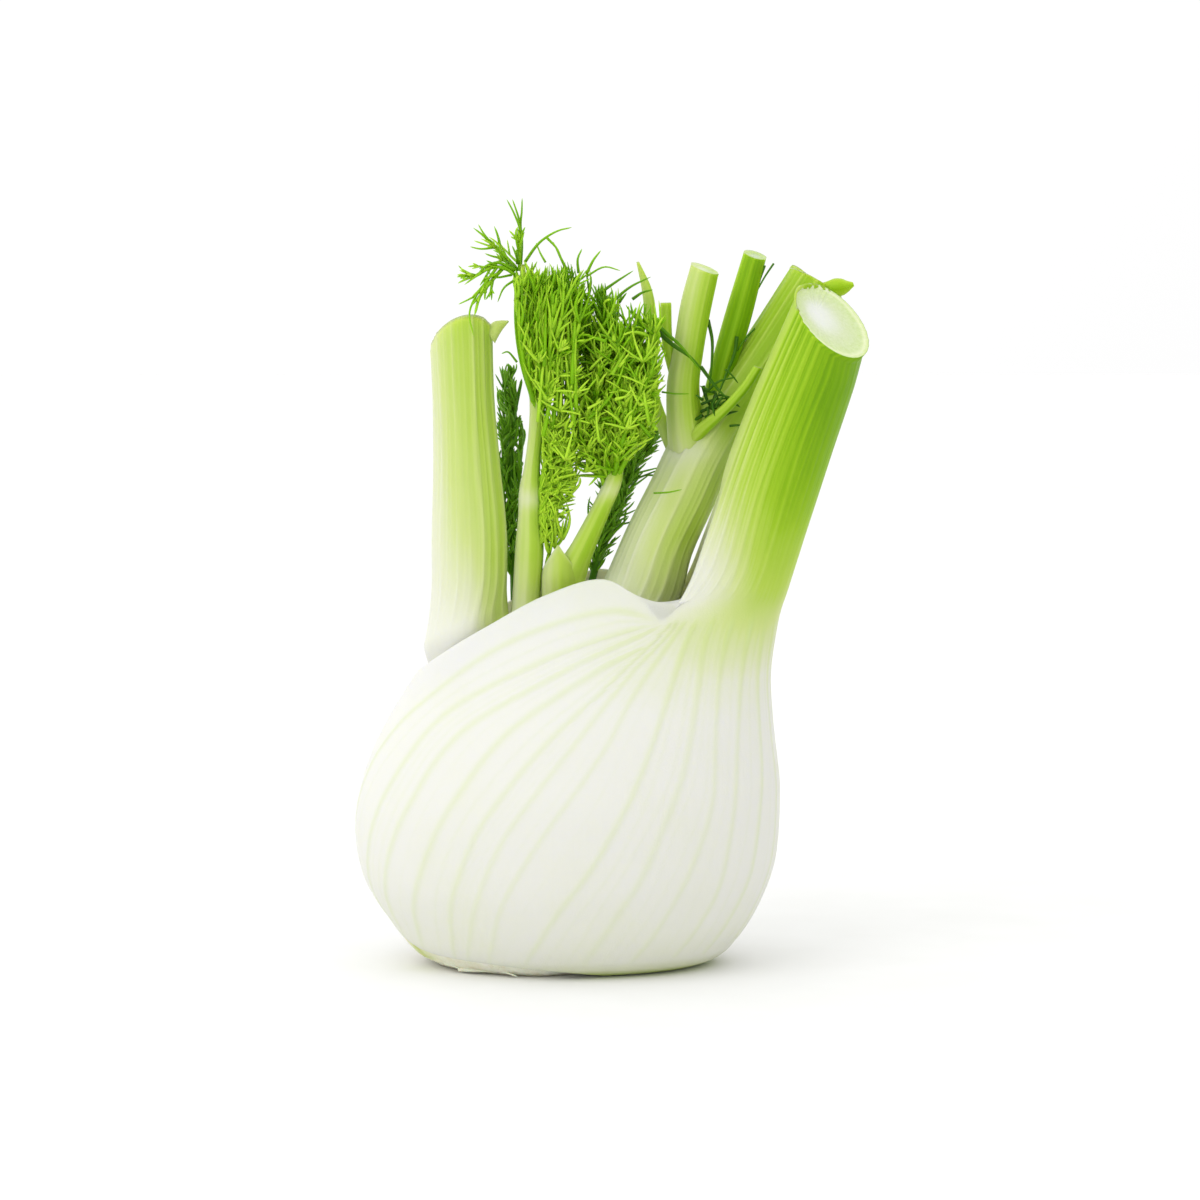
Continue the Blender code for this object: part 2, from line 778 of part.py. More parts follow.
def back_right_frond(collection):
    def territory(p):
        return 5.0 < p[0] < 24.0 and 8.0 < p[1] < 20.0 and 88.0 < p[2] < 126.0

    return back_frond(
        "back_right_frond",
        [(5.6, 9.8, 86.0), (7.4, 11.2, 93.0), (11.4, 13.8, 105.0), (16.0, 15.8, 116.0)],
        [
            ((6.8, 10.8, 91.0), (7.5, 12.6, 104.0)),
            ((9.0, 12.3, 98.5), (10.5, 13.6, 112.0)),
            ((12.0, 14.2, 106.5), (14.5, 15.0, 120.0)),
        ],
        territory,
        13,
        collection,
    )


def main():
    for old in list(bpy.data.objects):
        bpy.data.objects.remove(old)
    fennel = piece_collection("fennel_bulb")
    white = material("sheath_white", (0.86, 0.89, 0.76), 0.38)
    pale = material("stalk_pale_green", (0.55, 0.72, 0.22), 0.4)
    green = material("stalk_green", (0.45, 0.66, 0.14), 0.4)
    bright = material("frond_green", (0.22, 0.48, 0.03), 0.5)
    dark = material("frond_dark_green", (0.08, 0.22, 0.02), 0.55)
    cream = material("root_cream", (0.72, 0.66, 0.42), 0.7)
    finish(root_plate(fennel), cream)
    finish(outer_leaf(fennel), white)
    finish(left_leaf(fennel), pale)
    finish(forked_leaf(fennel), green)
    finish(left_frond(fennel), bright)
    finish(centre_frond(fennel), bright)
    finish(back_left_frond(fennel), dark)
    finish(back_right_frond(fennel), dark)


main()
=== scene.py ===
"""The looks of a trimmed fennel bulb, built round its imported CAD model.

Each leaf, stalk and frond here stands for one CAD node and repeats that node's form
with far more points, then adds what the CAD leaves out: veins, fibres, cut faces and
thousands of fine threads. Lengths are millimetres, and MM turns them into metres.
X runs to the right, Y away from the front and Z up.
"""

import math
import random

import bpy
import numpy as np
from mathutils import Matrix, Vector
from mathutils.kdtree import KDTree


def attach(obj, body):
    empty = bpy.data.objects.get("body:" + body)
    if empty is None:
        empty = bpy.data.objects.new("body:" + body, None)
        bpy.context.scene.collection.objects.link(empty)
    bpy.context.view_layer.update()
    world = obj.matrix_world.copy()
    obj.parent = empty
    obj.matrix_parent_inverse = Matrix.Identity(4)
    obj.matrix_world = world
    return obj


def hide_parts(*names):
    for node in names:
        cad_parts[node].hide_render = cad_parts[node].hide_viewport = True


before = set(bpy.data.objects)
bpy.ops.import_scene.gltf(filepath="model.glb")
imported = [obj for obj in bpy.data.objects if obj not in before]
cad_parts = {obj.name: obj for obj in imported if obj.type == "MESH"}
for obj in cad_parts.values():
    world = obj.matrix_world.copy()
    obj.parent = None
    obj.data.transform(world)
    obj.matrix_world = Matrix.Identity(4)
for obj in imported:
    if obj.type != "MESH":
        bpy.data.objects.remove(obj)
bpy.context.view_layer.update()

MM = 0.001

# Driving dimensions
GAP = 0.35  # between touching pieces
WALL = 4.0  # thickness of the outer sheath
EDGE = 1.2  # thickness of its free margin
PLATE_TOP = 6.0  # height of the root plate inside the sheath
RIB = 0.45  # height of a stalk's ribs
VEIN = 0.22  # height of the same ribs where they fan out over the bulb
EASE = 0.08  # how far the skin stays inside the CAD's outline
HALF_GRIP = 150.0  # degrees of the thick stalk that the sheath's outer face covers, each way
HALF_FACE = 26.0  # degrees of the stalk's inner face, each way

# Outline of the bulb: (height, left edge, right edge, half depth)
BULB = [
    (0, -30, 31, 21),
    (1.2, -33, 35, 23.8),
    (3, -35.8, 38, 26.2),
    (5.6, -38.1, 40.4, 28.4),
    (10.2, -41.2, 43.7, 31.2),
    (15, -44.6, 46.2, 33.2),
    (19.5, -47, 48, 34.8),
    (24, -48.4, 49.3, 35.7),
    (29, -49.1, 50, 36.2),
    (34, -49.2, 50.3, 36.3),
    (38, -48.8, 50.4, 36.1),
    (43, -47.7, 50.3, 35.3),
    (47.5, -46.3, 49.8, 34),
    (57, -41.9, 48.7, 30.5),
    (69, -34.9, 48.2, 24),
    (80, -32.1, 50, 18.5),
    (90, -31.4, 52.7, 14.6),
    (100, -31, 56, 12.6),
    (114, -31, 60.4, 11.8),
]

# Height of the outer sheath's rim: (degrees from the thick stalk, height)
RIM = [
    (70, 81.2),
    (75, 84.2),
    (81, 87),
    (87, 89.8),
    (92, 91.2),
    (100, 90),
    (109, 88),
    (118, 85.8),
    (126, 83),
    (138, 77.6),
    (150, 74.2),
    (165, 70.8),
    (180, 67.5),
]

# Lower edge of the outer sheath, trimmed away on the left: (degrees, height)
TRIM = [
    (0, 0.2),
    (75, 0.2),
    (90, 1.4),
    (100, 2.1),
    (120, 3.3),
    (145, 4.2),
    (155, 5),
    (165, 6.8),
    (180, 9),
]

# The outer leaf, row by row from its base to its thick stalk: height at its middle line,
# then degrees and height of its front and back margins, then how its veins crowd towards
# its middle, and how near to its margins it leaves the height of the middle
SHEATH = [
    (0.2, 207, 0.2, 151, 0.2, 1, 2),
    (3, 207, 3, 151, 3, 1, 2),
    (8, 207, 8, 151, 8, 1.02, 2),
    (15, 207, 15, 151, 15, 1.1, 2),
    (25, 206, 25, 151, 25, 1.2, 2),
    (36, 205, 36, 151, 36, 1.33, 2),
    (47, 204, 46.5, 151, 47, 1.45, 2),
    (57, 202, 55, 151, 57, 1.55, 2),
    (65, 194, 62.5, 151, 66, 1.6, 2),
    (70, 180, 67.5, 147, 75, 1.6, 2.2),
    (74, 157, 72.6, 135, 79, 1.55, 2.8),
    (77.5, 133, 79.9, 122, 84.4, 1.45, 3.6),
    (80.5, 111, 87.5, 107, 88.4, 1.3, 5),
    (83, 93, 91.2, 92, 91.2, 1.15, 7),
    (85.5, 79, 86.1, 79, 86.1, 1.05, 9),
    (88, 71, 81.6, 71, 81.6, 1, 9),
    (93, 65, 87, 65, 87, 1, 8),
    (99, 63.5, 95.5, 63.5, 95.5, 1, 6),
    (106, 62.8, 104, 62.8, 104, 1, 4),
    (113, 62.2, 112, 62.2, 112, 1, 4),
]
STALK_FIRST = 12.0  # row where the sheath starts to close into the stalk
STALK_WHOLE = 19.0  # row where it is all stalk
# Height of the thick stalk's centre line at each row from STALK_FIRST on
STALK_ROWS = [83, 86, 88.5, 91.5, 96, 102.5, 109.5, 117, 125, 132, 139.0]
LAST_ROW = STALK_FIRST + len(STALK_ROWS) - 1
TIP_ROWS = 2.0  # rows from there to the cut
THICK_CUT = (-4.1, -6.0)  # how far the cut rises to the right and to the front

# Centre lines: (height, x, y, half width, half depth)
THICK_STALK = [
    (70, 35, -1.5, 13, 12.5),
    (82, 37.6, -3, 12.9, 11.8),
    (90, 40.1, -4.2, 12.2, 11.4),
    (100, 43.4, -5.6, 11.6, 11.2),
    (112, 47.3, -7, 11.4, 11),
    (124, 51.4, -8, 11.1, 10.8),
    (138, 56.6, -8.7, 10.5, 10.4),
    (150.4, 61.3, -9, 9.6, 10),
]
LEFT_STALK = [
    (70, -22.6, -1, 10.5, 12),
    (84, -22.3, -1, 9.2, 9.6),
    (100, -22.2, -1, 9.1, 8.6),
    (117, -22.8, -1, 8.1, 8),
    (133, -23.5, -1.2, 7.5, 7.6),
    (145, -23.9, -1.5, 7.6, 7.5),
]
FORKED_STALK = [
    (70, 11.5, 2.5, 9.5, 11),
    (80, 14.4, 3, 8.8, 9.6),
    (87, 17.9, 3.8, 9.4, 8.8),
    (98.3, 22, 5.2, 8.6, 8.2),
    (110, 27.6, 6.8, 8.3, 7.8),
    (119, 31.8, 8.2, 8, 7.8),
    (127, 36.9, 10.2, 7.2, 7.4),
    (134, 42.2, 11.8, 7, 7.2),
    (146, 50.6, 12.8, 7.2, 7.2),
    (158.3, 58.6, 13.2, 7.3, 7.2),
]
SLIM_STALK = [
    (70, -9.5, -1.5, 4.4, 9),
    (87, -8.9, -2, 3.4, 3.9),
    (98, -8.2, -2.2, 3.4, 3.4),
    (106, -8.2, -2.3, 2.7, 2.8),
    (110, -8.1, -2.3, 2.7, 2.8),
    (116, -7.6, -2.3, 2, 2.2),
    (128, -6.4, -2, 1.9, 2),
    (146, -8, -1.5, 1.5, 1.5),
    (163, -9.9, -1.5, 0.7, 0.7),
]
LEANING_STALK = [
    (70, 0.3, -1.5, 4.6, 8),
    (84, 0.2, -2.2, 3.9, 4.4),
    (90, 0.9, -2.6, 3.9, 3.9),
    (98, 4.4, -2.8, 2.9, 3),
    (107, 8.6, -2.8, 2.3, 2.4),
    (113, 11.2, -2.6, 2.1, 2.2),
    (118, 12.4, -2.4, 1.5, 1.6),
]

# Planes between the leaf bases inside the sheath: (height, left-slim, slim-leaning,
# leaning-forked, right end of the forked leaf's base)
SPLITS = [
    (6, -9, -4, 3, 40),
    (36, -16, -5, 6.5, 48),
    (60, -15, -5, 6.5, 40),
    (66, -14.4, -4.9, 6.4, 35),
    (72, -13.6, -4.8, 6.4, 30),
    (80, -12.9, -4.8, 6.6, 24.5),
    (90, -12.5, -4.7, 7.4, 24),
]

# Skin colours by amount of green, from the white bulb to the darkest branch
SKIN = [
    (0.00, (0.730, 0.730, 0.680)),
    (0.10, (0.670, 0.700, 0.490)),
    (0.25, (0.560, 0.650, 0.240)),
    (0.42, (0.430, 0.590, 0.080)),
    (0.58, (0.310, 0.510, 0.020)),
    (0.70, (0.230, 0.430, 0.006)),
    (0.80, (0.165, 0.350, 0.003)),
    (0.90, (0.100, 0.250, 0.002)),
    (1.00, (0.055, 0.160, 0.001)),
]


def through(stations):
    """A smooth function through rows of (position, value, ...), for arrays of places."""
    rows = np.array(stations, dtype=float)
    places = rows[:, 0]
    values = rows[:, 1:]
    slopes = np.gradient(values, places, axis=0)

    def at(place):
        place = np.asarray(place, dtype=float)
        i = np.clip(np.searchsorted(places, place) - 1, 0, len(places) - 2)
        step = places[i + 1] - places[i]
        t = np.clip((place - places[i]) / step, 0.0, 1.0)[..., None]
        step = step[..., None]
        return (
            (2 * t**3 - 3 * t**2 + 1) * values[i]
            + (t**3 - 2 * t**2 + t) * step * slopes[i]
            + (3 * t**2 - 2 * t**3) * values[i + 1]
            + (t**3 - t**2) * step * slopes[i + 1]
        )

    return at


def straight(table, place):
    """Values at each place, on straight lines through rows of (position, value)."""
    return np.interp(place, *zip(*table))


def ease(t):
    """From 0 to 1 as t does, with a soft start and end."""
    t = np.clip(t, 0.0, 1.0)
    return t * t * (3 - 2 * t)


def bump(t, middle, width):
    """1 where t is at the middle, falling to nothing about two widths away."""
    return np.exp(-(((t - middle) / width) ** 2))


bulb_at = through(BULB)
rim_at = through(RIM)
sheath_at = through([(row, *values) for row, values in enumerate(SHEATH)])
split_at = through(SPLITS)
thick_line = through(THICK_STALK)
left_line = through(LEFT_STALK)
forked_line = through(FORKED_STALK)
slim_line = through(SLIM_STALK)
leaning_line = through(LEANING_STALK)


def around(degrees):
    """The angle from the thick stalk, 0 to 180, of any angle."""
    turned = np.abs(degrees) % 360.0
    return np.minimum(turned, 360.0 - turned)


def rim_height(degrees):
    return rim_at(np.maximum(around(degrees), RIM[0][0]))[..., 0]


def trim_height(degrees):
    return straight(TRIM, around(degrees))


def wall_at(degrees, height):
    """Thickness of the sheath, which thins to its rim."""
    return EDGE + (WALL - EDGE) * ease((rim_height(degrees) - height) / 25.0)


def bulb_points(degrees, height, inset):
    """Points on the bulb's outline: 0 degrees is the right, 90 the front."""
    left, right, depth = np.moveaxis(bulb_at(height), -1, 0)
    angle = np.radians(degrees)
    x = (left + right) / 2 + ((right - left) / 2 - inset) * np.cos(angle)
    y = -(depth - inset) * np.sin(angle)
    return np.stack(np.broadcast_arrays(x, y, height), -1)


def stalk_points(line, height, degrees, rib=0.0, cut=(0.0, 0.0)):
    """Points round a stalk. cut tips the section: rise to the right and to the front."""
    height, degrees = np.broadcast_arrays(
        np.asarray(height, float), np.asarray(degrees, float)
    )
    x, y, across, depth = np.moveaxis(line(height), -1, 0)
    ahead = (line(height + 0.5) - line(height - 0.5))[..., :2]
    axis = np.concatenate((ahead, np.ones_like(ahead[..., :1])), -1)
    axis /= np.linalg.norm(axis, axis=-1, keepdims=True)
    right = np.cross(axis, (0.0, -1.0, 0.0))
    right /= np.linalg.norm(right, axis=-1, keepdims=True)
    front = np.cross(right, axis)
    cosine = np.cos(np.radians(degrees))
    sine = np.sin(np.radians(degrees))
    return (
        np.stack((x, y, height), -1)
        + right * ((across + rib) * cosine)[..., None]
        + front * ((depth + rib) * sine)[..., None]
        + axis * (cut[0] * cosine + cut[1] * sine)[..., None]
    )


def waves(points, size, seed):
    """Smooth unevenness from -1 to 1 at each point, its lumps about size across."""
    rng = np.random.default_rng(seed)
    total = np.zeros(points.shape[:-1])
    for _ in range(7):
        way = rng.normal(size=3)
        way *= rng.uniform(0.6, 1.5) * math.pi / size / np.linalg.norm(way)
        total += np.sin(points @ way + rng.uniform(0.0, 2 * math.pi))
    return total / 4.5


def strands(u, metric, count, seed, width, strength, drift, along):
    """How far each point lies on one of the count fibres that run along a leaf.

    u runs from -1 to 1 across the leaf, and metric is the millimetres in one unit of it.
    """
    rng = np.random.default_rng(seed)
    total = np.zeros(np.broadcast(u, metric).shape)
    for k in range(count):
        middle = -1 + 2 * (k + 0.5 + rng.uniform(-0.22, 0.22)) / count
        phase = rng.uniform(0.0, 2 * math.pi)
        middle = middle + drift * np.sin(along * rng.uniform(0.7, 1.4) + phase)
        wide = width * rng.uniform(0.7, 1.4)
        strong = strength * rng.uniform(0.45, 1.0)
        total = np.maximum(total, strong * bump((u - middle) * metric, 0.0, wide))
    return total


def widths(points):
    """Millimetres from each column of a grid to the next, as a length for one step."""
    step = np.linalg.norm(np.roll(points, -1, 1) - points, axis=-1)
    return (step + np.roll(step, 1, 1)) / 2


# Making meshes


def closed_faces(rows, columns):
    """Quads of a grid whose last column meets its first."""
    r, c = np.meshgrid(np.arange(rows - 1), np.arange(columns), indexing="ij")
    n = (c + 1) % columns
    quads = (r * columns + c, r * columns + n, (r + 1) * columns + n, (r + 1) * columns + c)
    return np.stack(quads, -1).reshape(-1, 4)


def signed_volume(points, quads):
    a, b, c, d = (points[quads[:, k]] for k in range(4))
    return np.einsum("ij,ij->i", a, np.cross(b, c) + np.cross(c, d)).sum()


def made_piece(name, points, faces, marks, material, node=None):
    """A smooth mesh piece of the bulb that rides on its body."""
    mesh = bpy.data.meshes.new(name)
    mesh.from_pydata((points * MM).tolist(), [], faces)
    mesh.update()
    for mark, values in marks.items():
        attribute = mesh.attributes.new(mark, "FLOAT", "POINT")
        attribute.data.foreach_set("value", np.asarray(values, np.float32).ravel())
    mesh.shade_smooth()
    mesh.materials.append(material)
    piece = bpy.data.objects.new(name, mesh)
    bpy.context.scene.collection.objects.link(piece)
    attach(piece, "root")
    if node:
        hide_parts(node)


# Loops of a cut face, as shares of its rim
CUT_SHARES = np.concatenate(([0.99, 0.975, 0.95], np.linspace(0.91, 0.02, 16)))


def cut_face(ring, dish, seed):
    """Loops from a stalk's cut rim to its middle, hollowed a little and uneven."""
    centre = ring.mean(0)
    normal = np.cross(ring[len(ring) // 4] - centre, ring[0] - centre)
    normal /= np.linalg.norm(normal)
    normal *= -1.0 if normal[2] < 0 else 1.0
    turn = np.linspace(0.0, 2 * math.pi, len(ring), endpoint=False)
    loops = []
    for share in CUT_SHARES:
        loop = centre + (ring - centre) * share
        depth = dish * (1 - share**2) ** 0.8 + 0.1 * ease((1 - share) / 0.03)
        bundles = 0.12 * bump(share, 0.92, 0.04) * ease(np.cos(43 * turn + seed) + 0.3)
        grain = 0.05 * waves(loop, 0.9, seed) * ease((1 - share) / 0.1)
        loops.append(loop + normal * (bundles + grain - depth)[:, None])
    return np.array(loops)


def lofted(name, grid, green, material, node, dish, seed, vein=0.0, flesh=1.0, zipped=0):
    """A closed piece through loops of points, with a cut face at its upper end.

    dish is how far the face is hollowed, flesh is how much of the face has the colour of
    flesh, and zipped is the count of columns on the outside of a leaf that is open below.
    """
    loops = cut_face(grid[-1], dish, seed)
    rows, columns = grid.shape[:2]
    grid = np.concatenate((grid, loops))
    points = grid.reshape(-1, 3)
    quads = closed_faces(len(grid), columns)
    faces = quads.tolist()
    faces.append(list(range(len(points) - columns, len(points))))
    if zipped:
        i = np.arange(zipped - 1)
        back = 2 * zipped - 1 - i
        faces += np.stack((i, back, back - 1, i + 1), -1).tolist()
    else:
        faces.append(list(range(columns))[::-1])
    if signed_volume(points, quads) < 0:
        faces = [face[::-1] for face in faces]
    full = {}
    for mark, values in (("green", green), ("vein", vein)):
        values = np.broadcast_to(values, (rows, columns))
        full[mark] = np.concatenate((values, np.repeat(values[-1:], len(loops), 0)))
    full["cut"] = np.zeros(grid.shape[:2])
    full["cut"][rows:] = flesh
    full["radial"] = np.ones(grid.shape[:2])
    full["radial"][rows:] = CUT_SHARES[:, None]
    made_piece(name, points, faces, full, material, node)


def shell(name, outer, inner, green, material):
    """A closed thin leaf between two open grids of points."""
    rows, columns = outer.shape[:2]
    total = rows * columns
    index = np.arange(total).reshape(rows, columns)
    quads = np.stack((index[:-1, :-1], index[:-1, 1:], index[1:, 1:], index[1:, :-1]), -1)
    quads = quads.reshape(-1, 4)
    border = np.concatenate((index[0, :-1], index[:-1, -1], index[-1, :0:-1], index[:0:-1, 0]))
    following = np.roll(border, -1)
    strip = np.stack((following, border, border + total, following + total), -1)
    faces = np.concatenate((quads, quads[:, ::-1] + total, strip))
    points = np.concatenate((outer.reshape(-1, 3), inner.reshape(-1, 3)))
    if signed_volume(points, faces) < 0:
        faces = faces[:, ::-1]
    tones = np.concatenate((green.ravel(), green.ravel()))
    marks = {"green": tones, "vein": 0.0 * tones, "cut": 0.0 * tones, "radial": 0.0 * tones + 1.0}
    made_piece(name, points, faces.tolist(), marks, material)


# Materials


class Shader:
    """A principled material and short ways to add nodes to it."""

    def __init__(self, name):
        self.material = bpy.data.materials.new(name)
        self.material.use_nodes = True
        self.tree = self.material.node_tree
        self.bsdf = self.tree.nodes["Principled BSDF"]

    def set(self, **values):
        for socket, value in values.items():
            self.bsdf.inputs[socket.replace("_", " ")].default_value = value

    def node(self, kind, **settings):
        made = self.tree.nodes.new(kind)
        for key, value in settings.items():
            setattr(made, key, value)
        return made

    def link(self, source, target):
        self.tree.links.new(source, target)

    def feed(self, socket, source):
        self.link(source, self.bsdf.inputs[socket])

    def mark(self, name):
        return self.node("ShaderNodeAttribute", attribute_name=name).outputs["Fac"]

    def math(self, kind, a, b=0.0, c=0.0, clamp=False):
        made = self.node("ShaderNodeMath", operation=kind, use_clamp=clamp)
        for socket, value in zip(made.inputs, (a, b, c)):
            if isinstance(value, (int, float)):
                socket.default_value = value
            else:
                self.link(value, socket)
        return made.outputs[0]

    def scaled(self, value, factor, shift, clamp=False):
        return self.math("MULTIPLY_ADD", value, factor, shift, clamp)

    def noise(self, scale, detail=3.0, roughness=0.55, stretch=(1.0, 1.0, 1.0)):
        place = self.node("ShaderNodeTexCoord").outputs["Object"]
        mapping = self.node("ShaderNodeMapping")
        mapping.inputs["Scale"].default_value = stretch
        self.link(place, mapping.inputs["Vector"])
        made = self.node("ShaderNodeTexNoise")
        made.inputs["Scale"].default_value = scale
        made.inputs["Detail"].default_value = detail
        made.inputs["Roughness"].default_value = roughness
        self.link(mapping.outputs["Vector"], made.inputs["Vector"])
        return made.outputs["Fac"]

    def ramp(self, amount, stops):
        made = self.node("ShaderNodeValToRGB")
        elements = made.color_ramp.elements
        while len(elements) < len(stops):
            elements.new(0.5)
        for element, (place, colour) in zip(elements, stops):
            element.position = place
            element.color = (*colour, 1.0)
        self.link(amount, made.inputs["Fac"])
        return made.outputs["Color"]

    def mix(self, amount, first, second, kind="MIX"):
        made = self.node("ShaderNodeMix", data_type="RGBA", blend_type=kind)
        for number, value in ((0, amount), (6, first), (7, second)):
            socket = made.inputs[number]
            if isinstance(value, (int, float)):
                socket.default_value = value
            elif isinstance(value, tuple):
                socket.default_value = (*value, 1.0)
            else:
                self.link(value, socket)
        return made.outputs[2]

    def bump(self, height, strength, distance):
        made = self.node("ShaderNodeBump")
        made.inputs["Strength"].default_value = strength
        made.inputs["Distance"].default_value = distance
        self.link(height, made.inputs["Height"])
        self.feed("Normal", made.outputs["Normal"])


def skin_material(name, gloss):
    """Leaf skin from white to green, with fibres, specks and pale cut flesh."""
    look = Shader(name)
    look.set(Subsurface_Weight=0.28, Subsurface_Scale=0.004, IOR=1.42, Specular_IOR_Level=0.15)
    look.set(Subsurface_Radius=(1.0, 1.0, 0.45))
    green = look.mark("green")
    fibre = look.noise(420.0, 4.0, 0.6, (1.0, 1.0, 0.06))
    blotch = look.noise(60.0, 3.0)
    specks = look.noise(2300.0, 2.0, 0.6)
    shift = look.scaled(fibre, 0.11, -0.055)
    shift = look.math("MULTIPLY", shift, look.scaled(green, 1.1, 0.12))
    shift = look.math("ADD", shift, look.scaled(blotch, 0.06, -0.03))
    amount = look.math("ADD", green, shift, clamp=True)
    skin = look.ramp(amount, SKIN)
    dots = look.math("SMOOTH_MIN", look.scaled(specks, 5.0, -2.9, clamp=True), 1.0, 0.1)
    skin = look.mix(look.math("MULTIPLY", dots, 0.10), skin, (0.95, 1.0, 0.72), "MULTIPLY")
    vein = look.mark("vein")
    skin = look.mix(look.math("MULTIPLY", vein, 0.62), skin, (0.62, 0.68, 0.42))
    radial = look.mark("radial")
    flesh = look.ramp(
        radial,
        [
            (0.0, (0.74, 0.75, 0.72)),
            (0.28, (0.70, 0.73, 0.64)),
            (0.55, (0.58, 0.66, 0.38)),
            (0.86, (0.54, 0.66, 0.28)),
            (0.93, (0.70, 0.77, 0.46)),
            (1.0, (0.50, 0.66, 0.18)),
        ],
    )
    cells = look.noise(1500.0, 3.0, 0.7)
    flesh = look.mix(look.scaled(cells, 0.9, -0.3, clamp=True), flesh, (0.80, 0.84, 0.70))
    colour = look.mix(look.mark("cut"), skin, flesh)
    look.feed("Base Color", colour)
    rough = look.scaled(look.noise(260.0, 3.0), 0.22, gloss)
    look.feed("Roughness", rough)
    height = look.math("ADD", look.math("MULTIPLY", fibre, 0.7), look.math("MULTIPLY", specks, 0.3))
    look.bump(height, 0.22, 0.0006)
    return look.material


def frond_material(name, low, middle, high):
    """Thread green: darker where a thread starts and bright at its tip."""
    look = Shader(name)
    look.set(Subsurface_Weight=0.25, Subsurface_Scale=0.0010, IOR=1.40, Specular_IOR_Level=0.22)
    look.set(Subsurface_Radius=(0.9, 1.0, 0.2))
    tone = look.mark("green")
    grain = look.noise(900.0, 3.0, 0.6, (1.0, 1.0, 0.4))
    amount = look.math("ADD", tone, look.scaled(grain, 0.3, -0.15), clamp=True)
    look.feed("Base Color", look.ramp(amount, [(0.0, low), (0.5, middle), (1.0, high)]))
    look.feed("Roughness", look.scaled(grain, 0.2, 0.34))
    look.bump(grain, 0.2, 0.0003)
    return look.material


def root_material():
    """Dry trimmed root tissue: cream, tan where it meets the ground, with fine fibres."""
    look = Shader("root_cream")
    look.set(Subsurface_Weight=0.15, Subsurface_Scale=0.002, IOR=1.4)
    patch = look.noise(190.0, 4.0, 0.6)
    grain = look.noise(1300.0, 4.0, 0.7, (1.0, 1.0, 0.5))
    colour = look.ramp(
        patch,
        [
            (0.30, (0.80, 0.77, 0.58)),
            (0.48, (0.86, 0.85, 0.70)),
            (0.62, (0.90, 0.89, 0.78)),
        ],
    )
    fresh = look.math("MULTIPLY", look.mark("green"), look.scaled(patch, 2.0, -0.2, clamp=True))
    colour = look.mix(fresh, colour, (0.60, 0.66, 0.20))
    # Darker tan at the lowest edge, where the plate meets the floor
    bottom_tan = look.math("MULTIPLY", look.mark("vein"), look.scaled(grain, 1.8, -0.3, clamp=True))
    colour = look.mix(bottom_tan, colour, (0.44, 0.38, 0.15))
    speck = look.scaled(grain, 2.4, -1.3, clamp=True)
    colour = look.mix(look.math("MULTIPLY", speck, 0.3), colour, (0.50, 0.42, 0.24))
    look.feed("Base Color", colour)
    look.feed("Roughness", look.scaled(grain, 0.25, 0.6))
    look.bump(look.math("ADD", patch, grain), 0.5, 0.0010)
    return look.material


sheath_skin = skin_material("sheath_skin", 0.30)
stalk_skin = skin_material("stalk_skin", 0.33)
frond_green = frond_material(
    "frond_green", (0.070, 0.210, 0.002), (0.205, 0.460, 0.003), (0.420, 0.680, 0.035)
)
# A darker copy of the frond material: painted shade for the foliage behind the stalks and in the hollow
# between the branches
frond_shade = frond_material(
    "frond_shade", (0.025, 0.090, 0.003), (0.070, 0.205, 0.006), (0.16, 0.36, 0.02)
)
root_cream = root_material()


# The outer leaf

SHEATH_STEPS = 480
MARGIN = 0.016  # share of the sheath's width over which its free margin is rounded

# Green of the thick stalk's front by height
THICK_GREEN = [
    (0, 0),
    (58, 0),
    (68, 0.05),
    (77, 0.20),
    (87, 0.40),
    (96, 0.52),
    (105, 0.62),
    (115, 0.69),
    (124, 0.75),
    (134, 0.79),
    (146, 0.74),
    (170, 0.72),
]


def thick_green(points, degrees):
    """Amount of green: paler towards the inner side of the stalk."""
    inner_side = ease((around(degrees) - 60.0) / 90.0)
    right_side = ease((45.0 - around(degrees)) / 45.0)
    late = 26.0 * inner_side + 6.0 * right_side
    return straight(THICK_GREEN, points[..., 2] - late)


def sheath_grid(rows, u, inner, relief=0.0):
    """Points of the outer leaf: u runs from the back margin, -1, to the front one, 1."""
    row, u = np.meshgrid(rows, u, indexing="ij")
    at_row = sheath_at(np.minimum(row, len(SHEATH) - 1.0))
    middle, front_turn, front_z, back_turn, back_z, crowd, dip = np.moveaxis(at_row, -1, 0)
    turn = np.where(u >= 0, front_turn, back_turn)
    margin_z = np.where(u >= 0, front_z, back_z)
    degrees = np.sign(u) * turn * np.abs(u) ** (1.0 if inner else crowd)
    height = middle + (margin_z - middle) * np.abs(u) ** dip
    height = height + trim_height(degrees) * np.maximum(1.0 - middle / 40.0, 0.0)
    inset = wall_at(degrees, height) if inner else EASE + VEIN * (1 - relief)
    on_bulb = bulb_points(degrees, height, inset)
    first = (8.0 + 6.5 * u * u) if inner else (STALK_FIRST + 2.5 * u * u)
    share = ease((row - first) / (STALK_WHOLE - first))
    place = np.clip(row - STALK_FIRST, 0.0, len(STALK_ROWS) - 1.0)
    tip = np.clip((row - LAST_ROW) / TIP_ROWS, 0.0, 1.0)
    high = np.interp(place, np.arange(len(STALK_ROWS)), STALK_ROWS)
    high = high + (THICK_STALK[-1][0] - STALK_ROWS[-1]) * tip
    around_stalk = 180.0 - HALF_FACE * u if inner else HALF_GRIP * u
    ribs = 0.0 if inner else -RIB * (1 - relief)
    cut = (THICK_CUT[0] * tip, THICK_CUT[1] * tip)
    on_stalk = stalk_points(thick_line, high, around_stalk, ribs, cut)
    points = on_bulb + (on_stalk - on_bulb) * share[..., None]
    return points, degrees, around_stalk, share, on_bulb


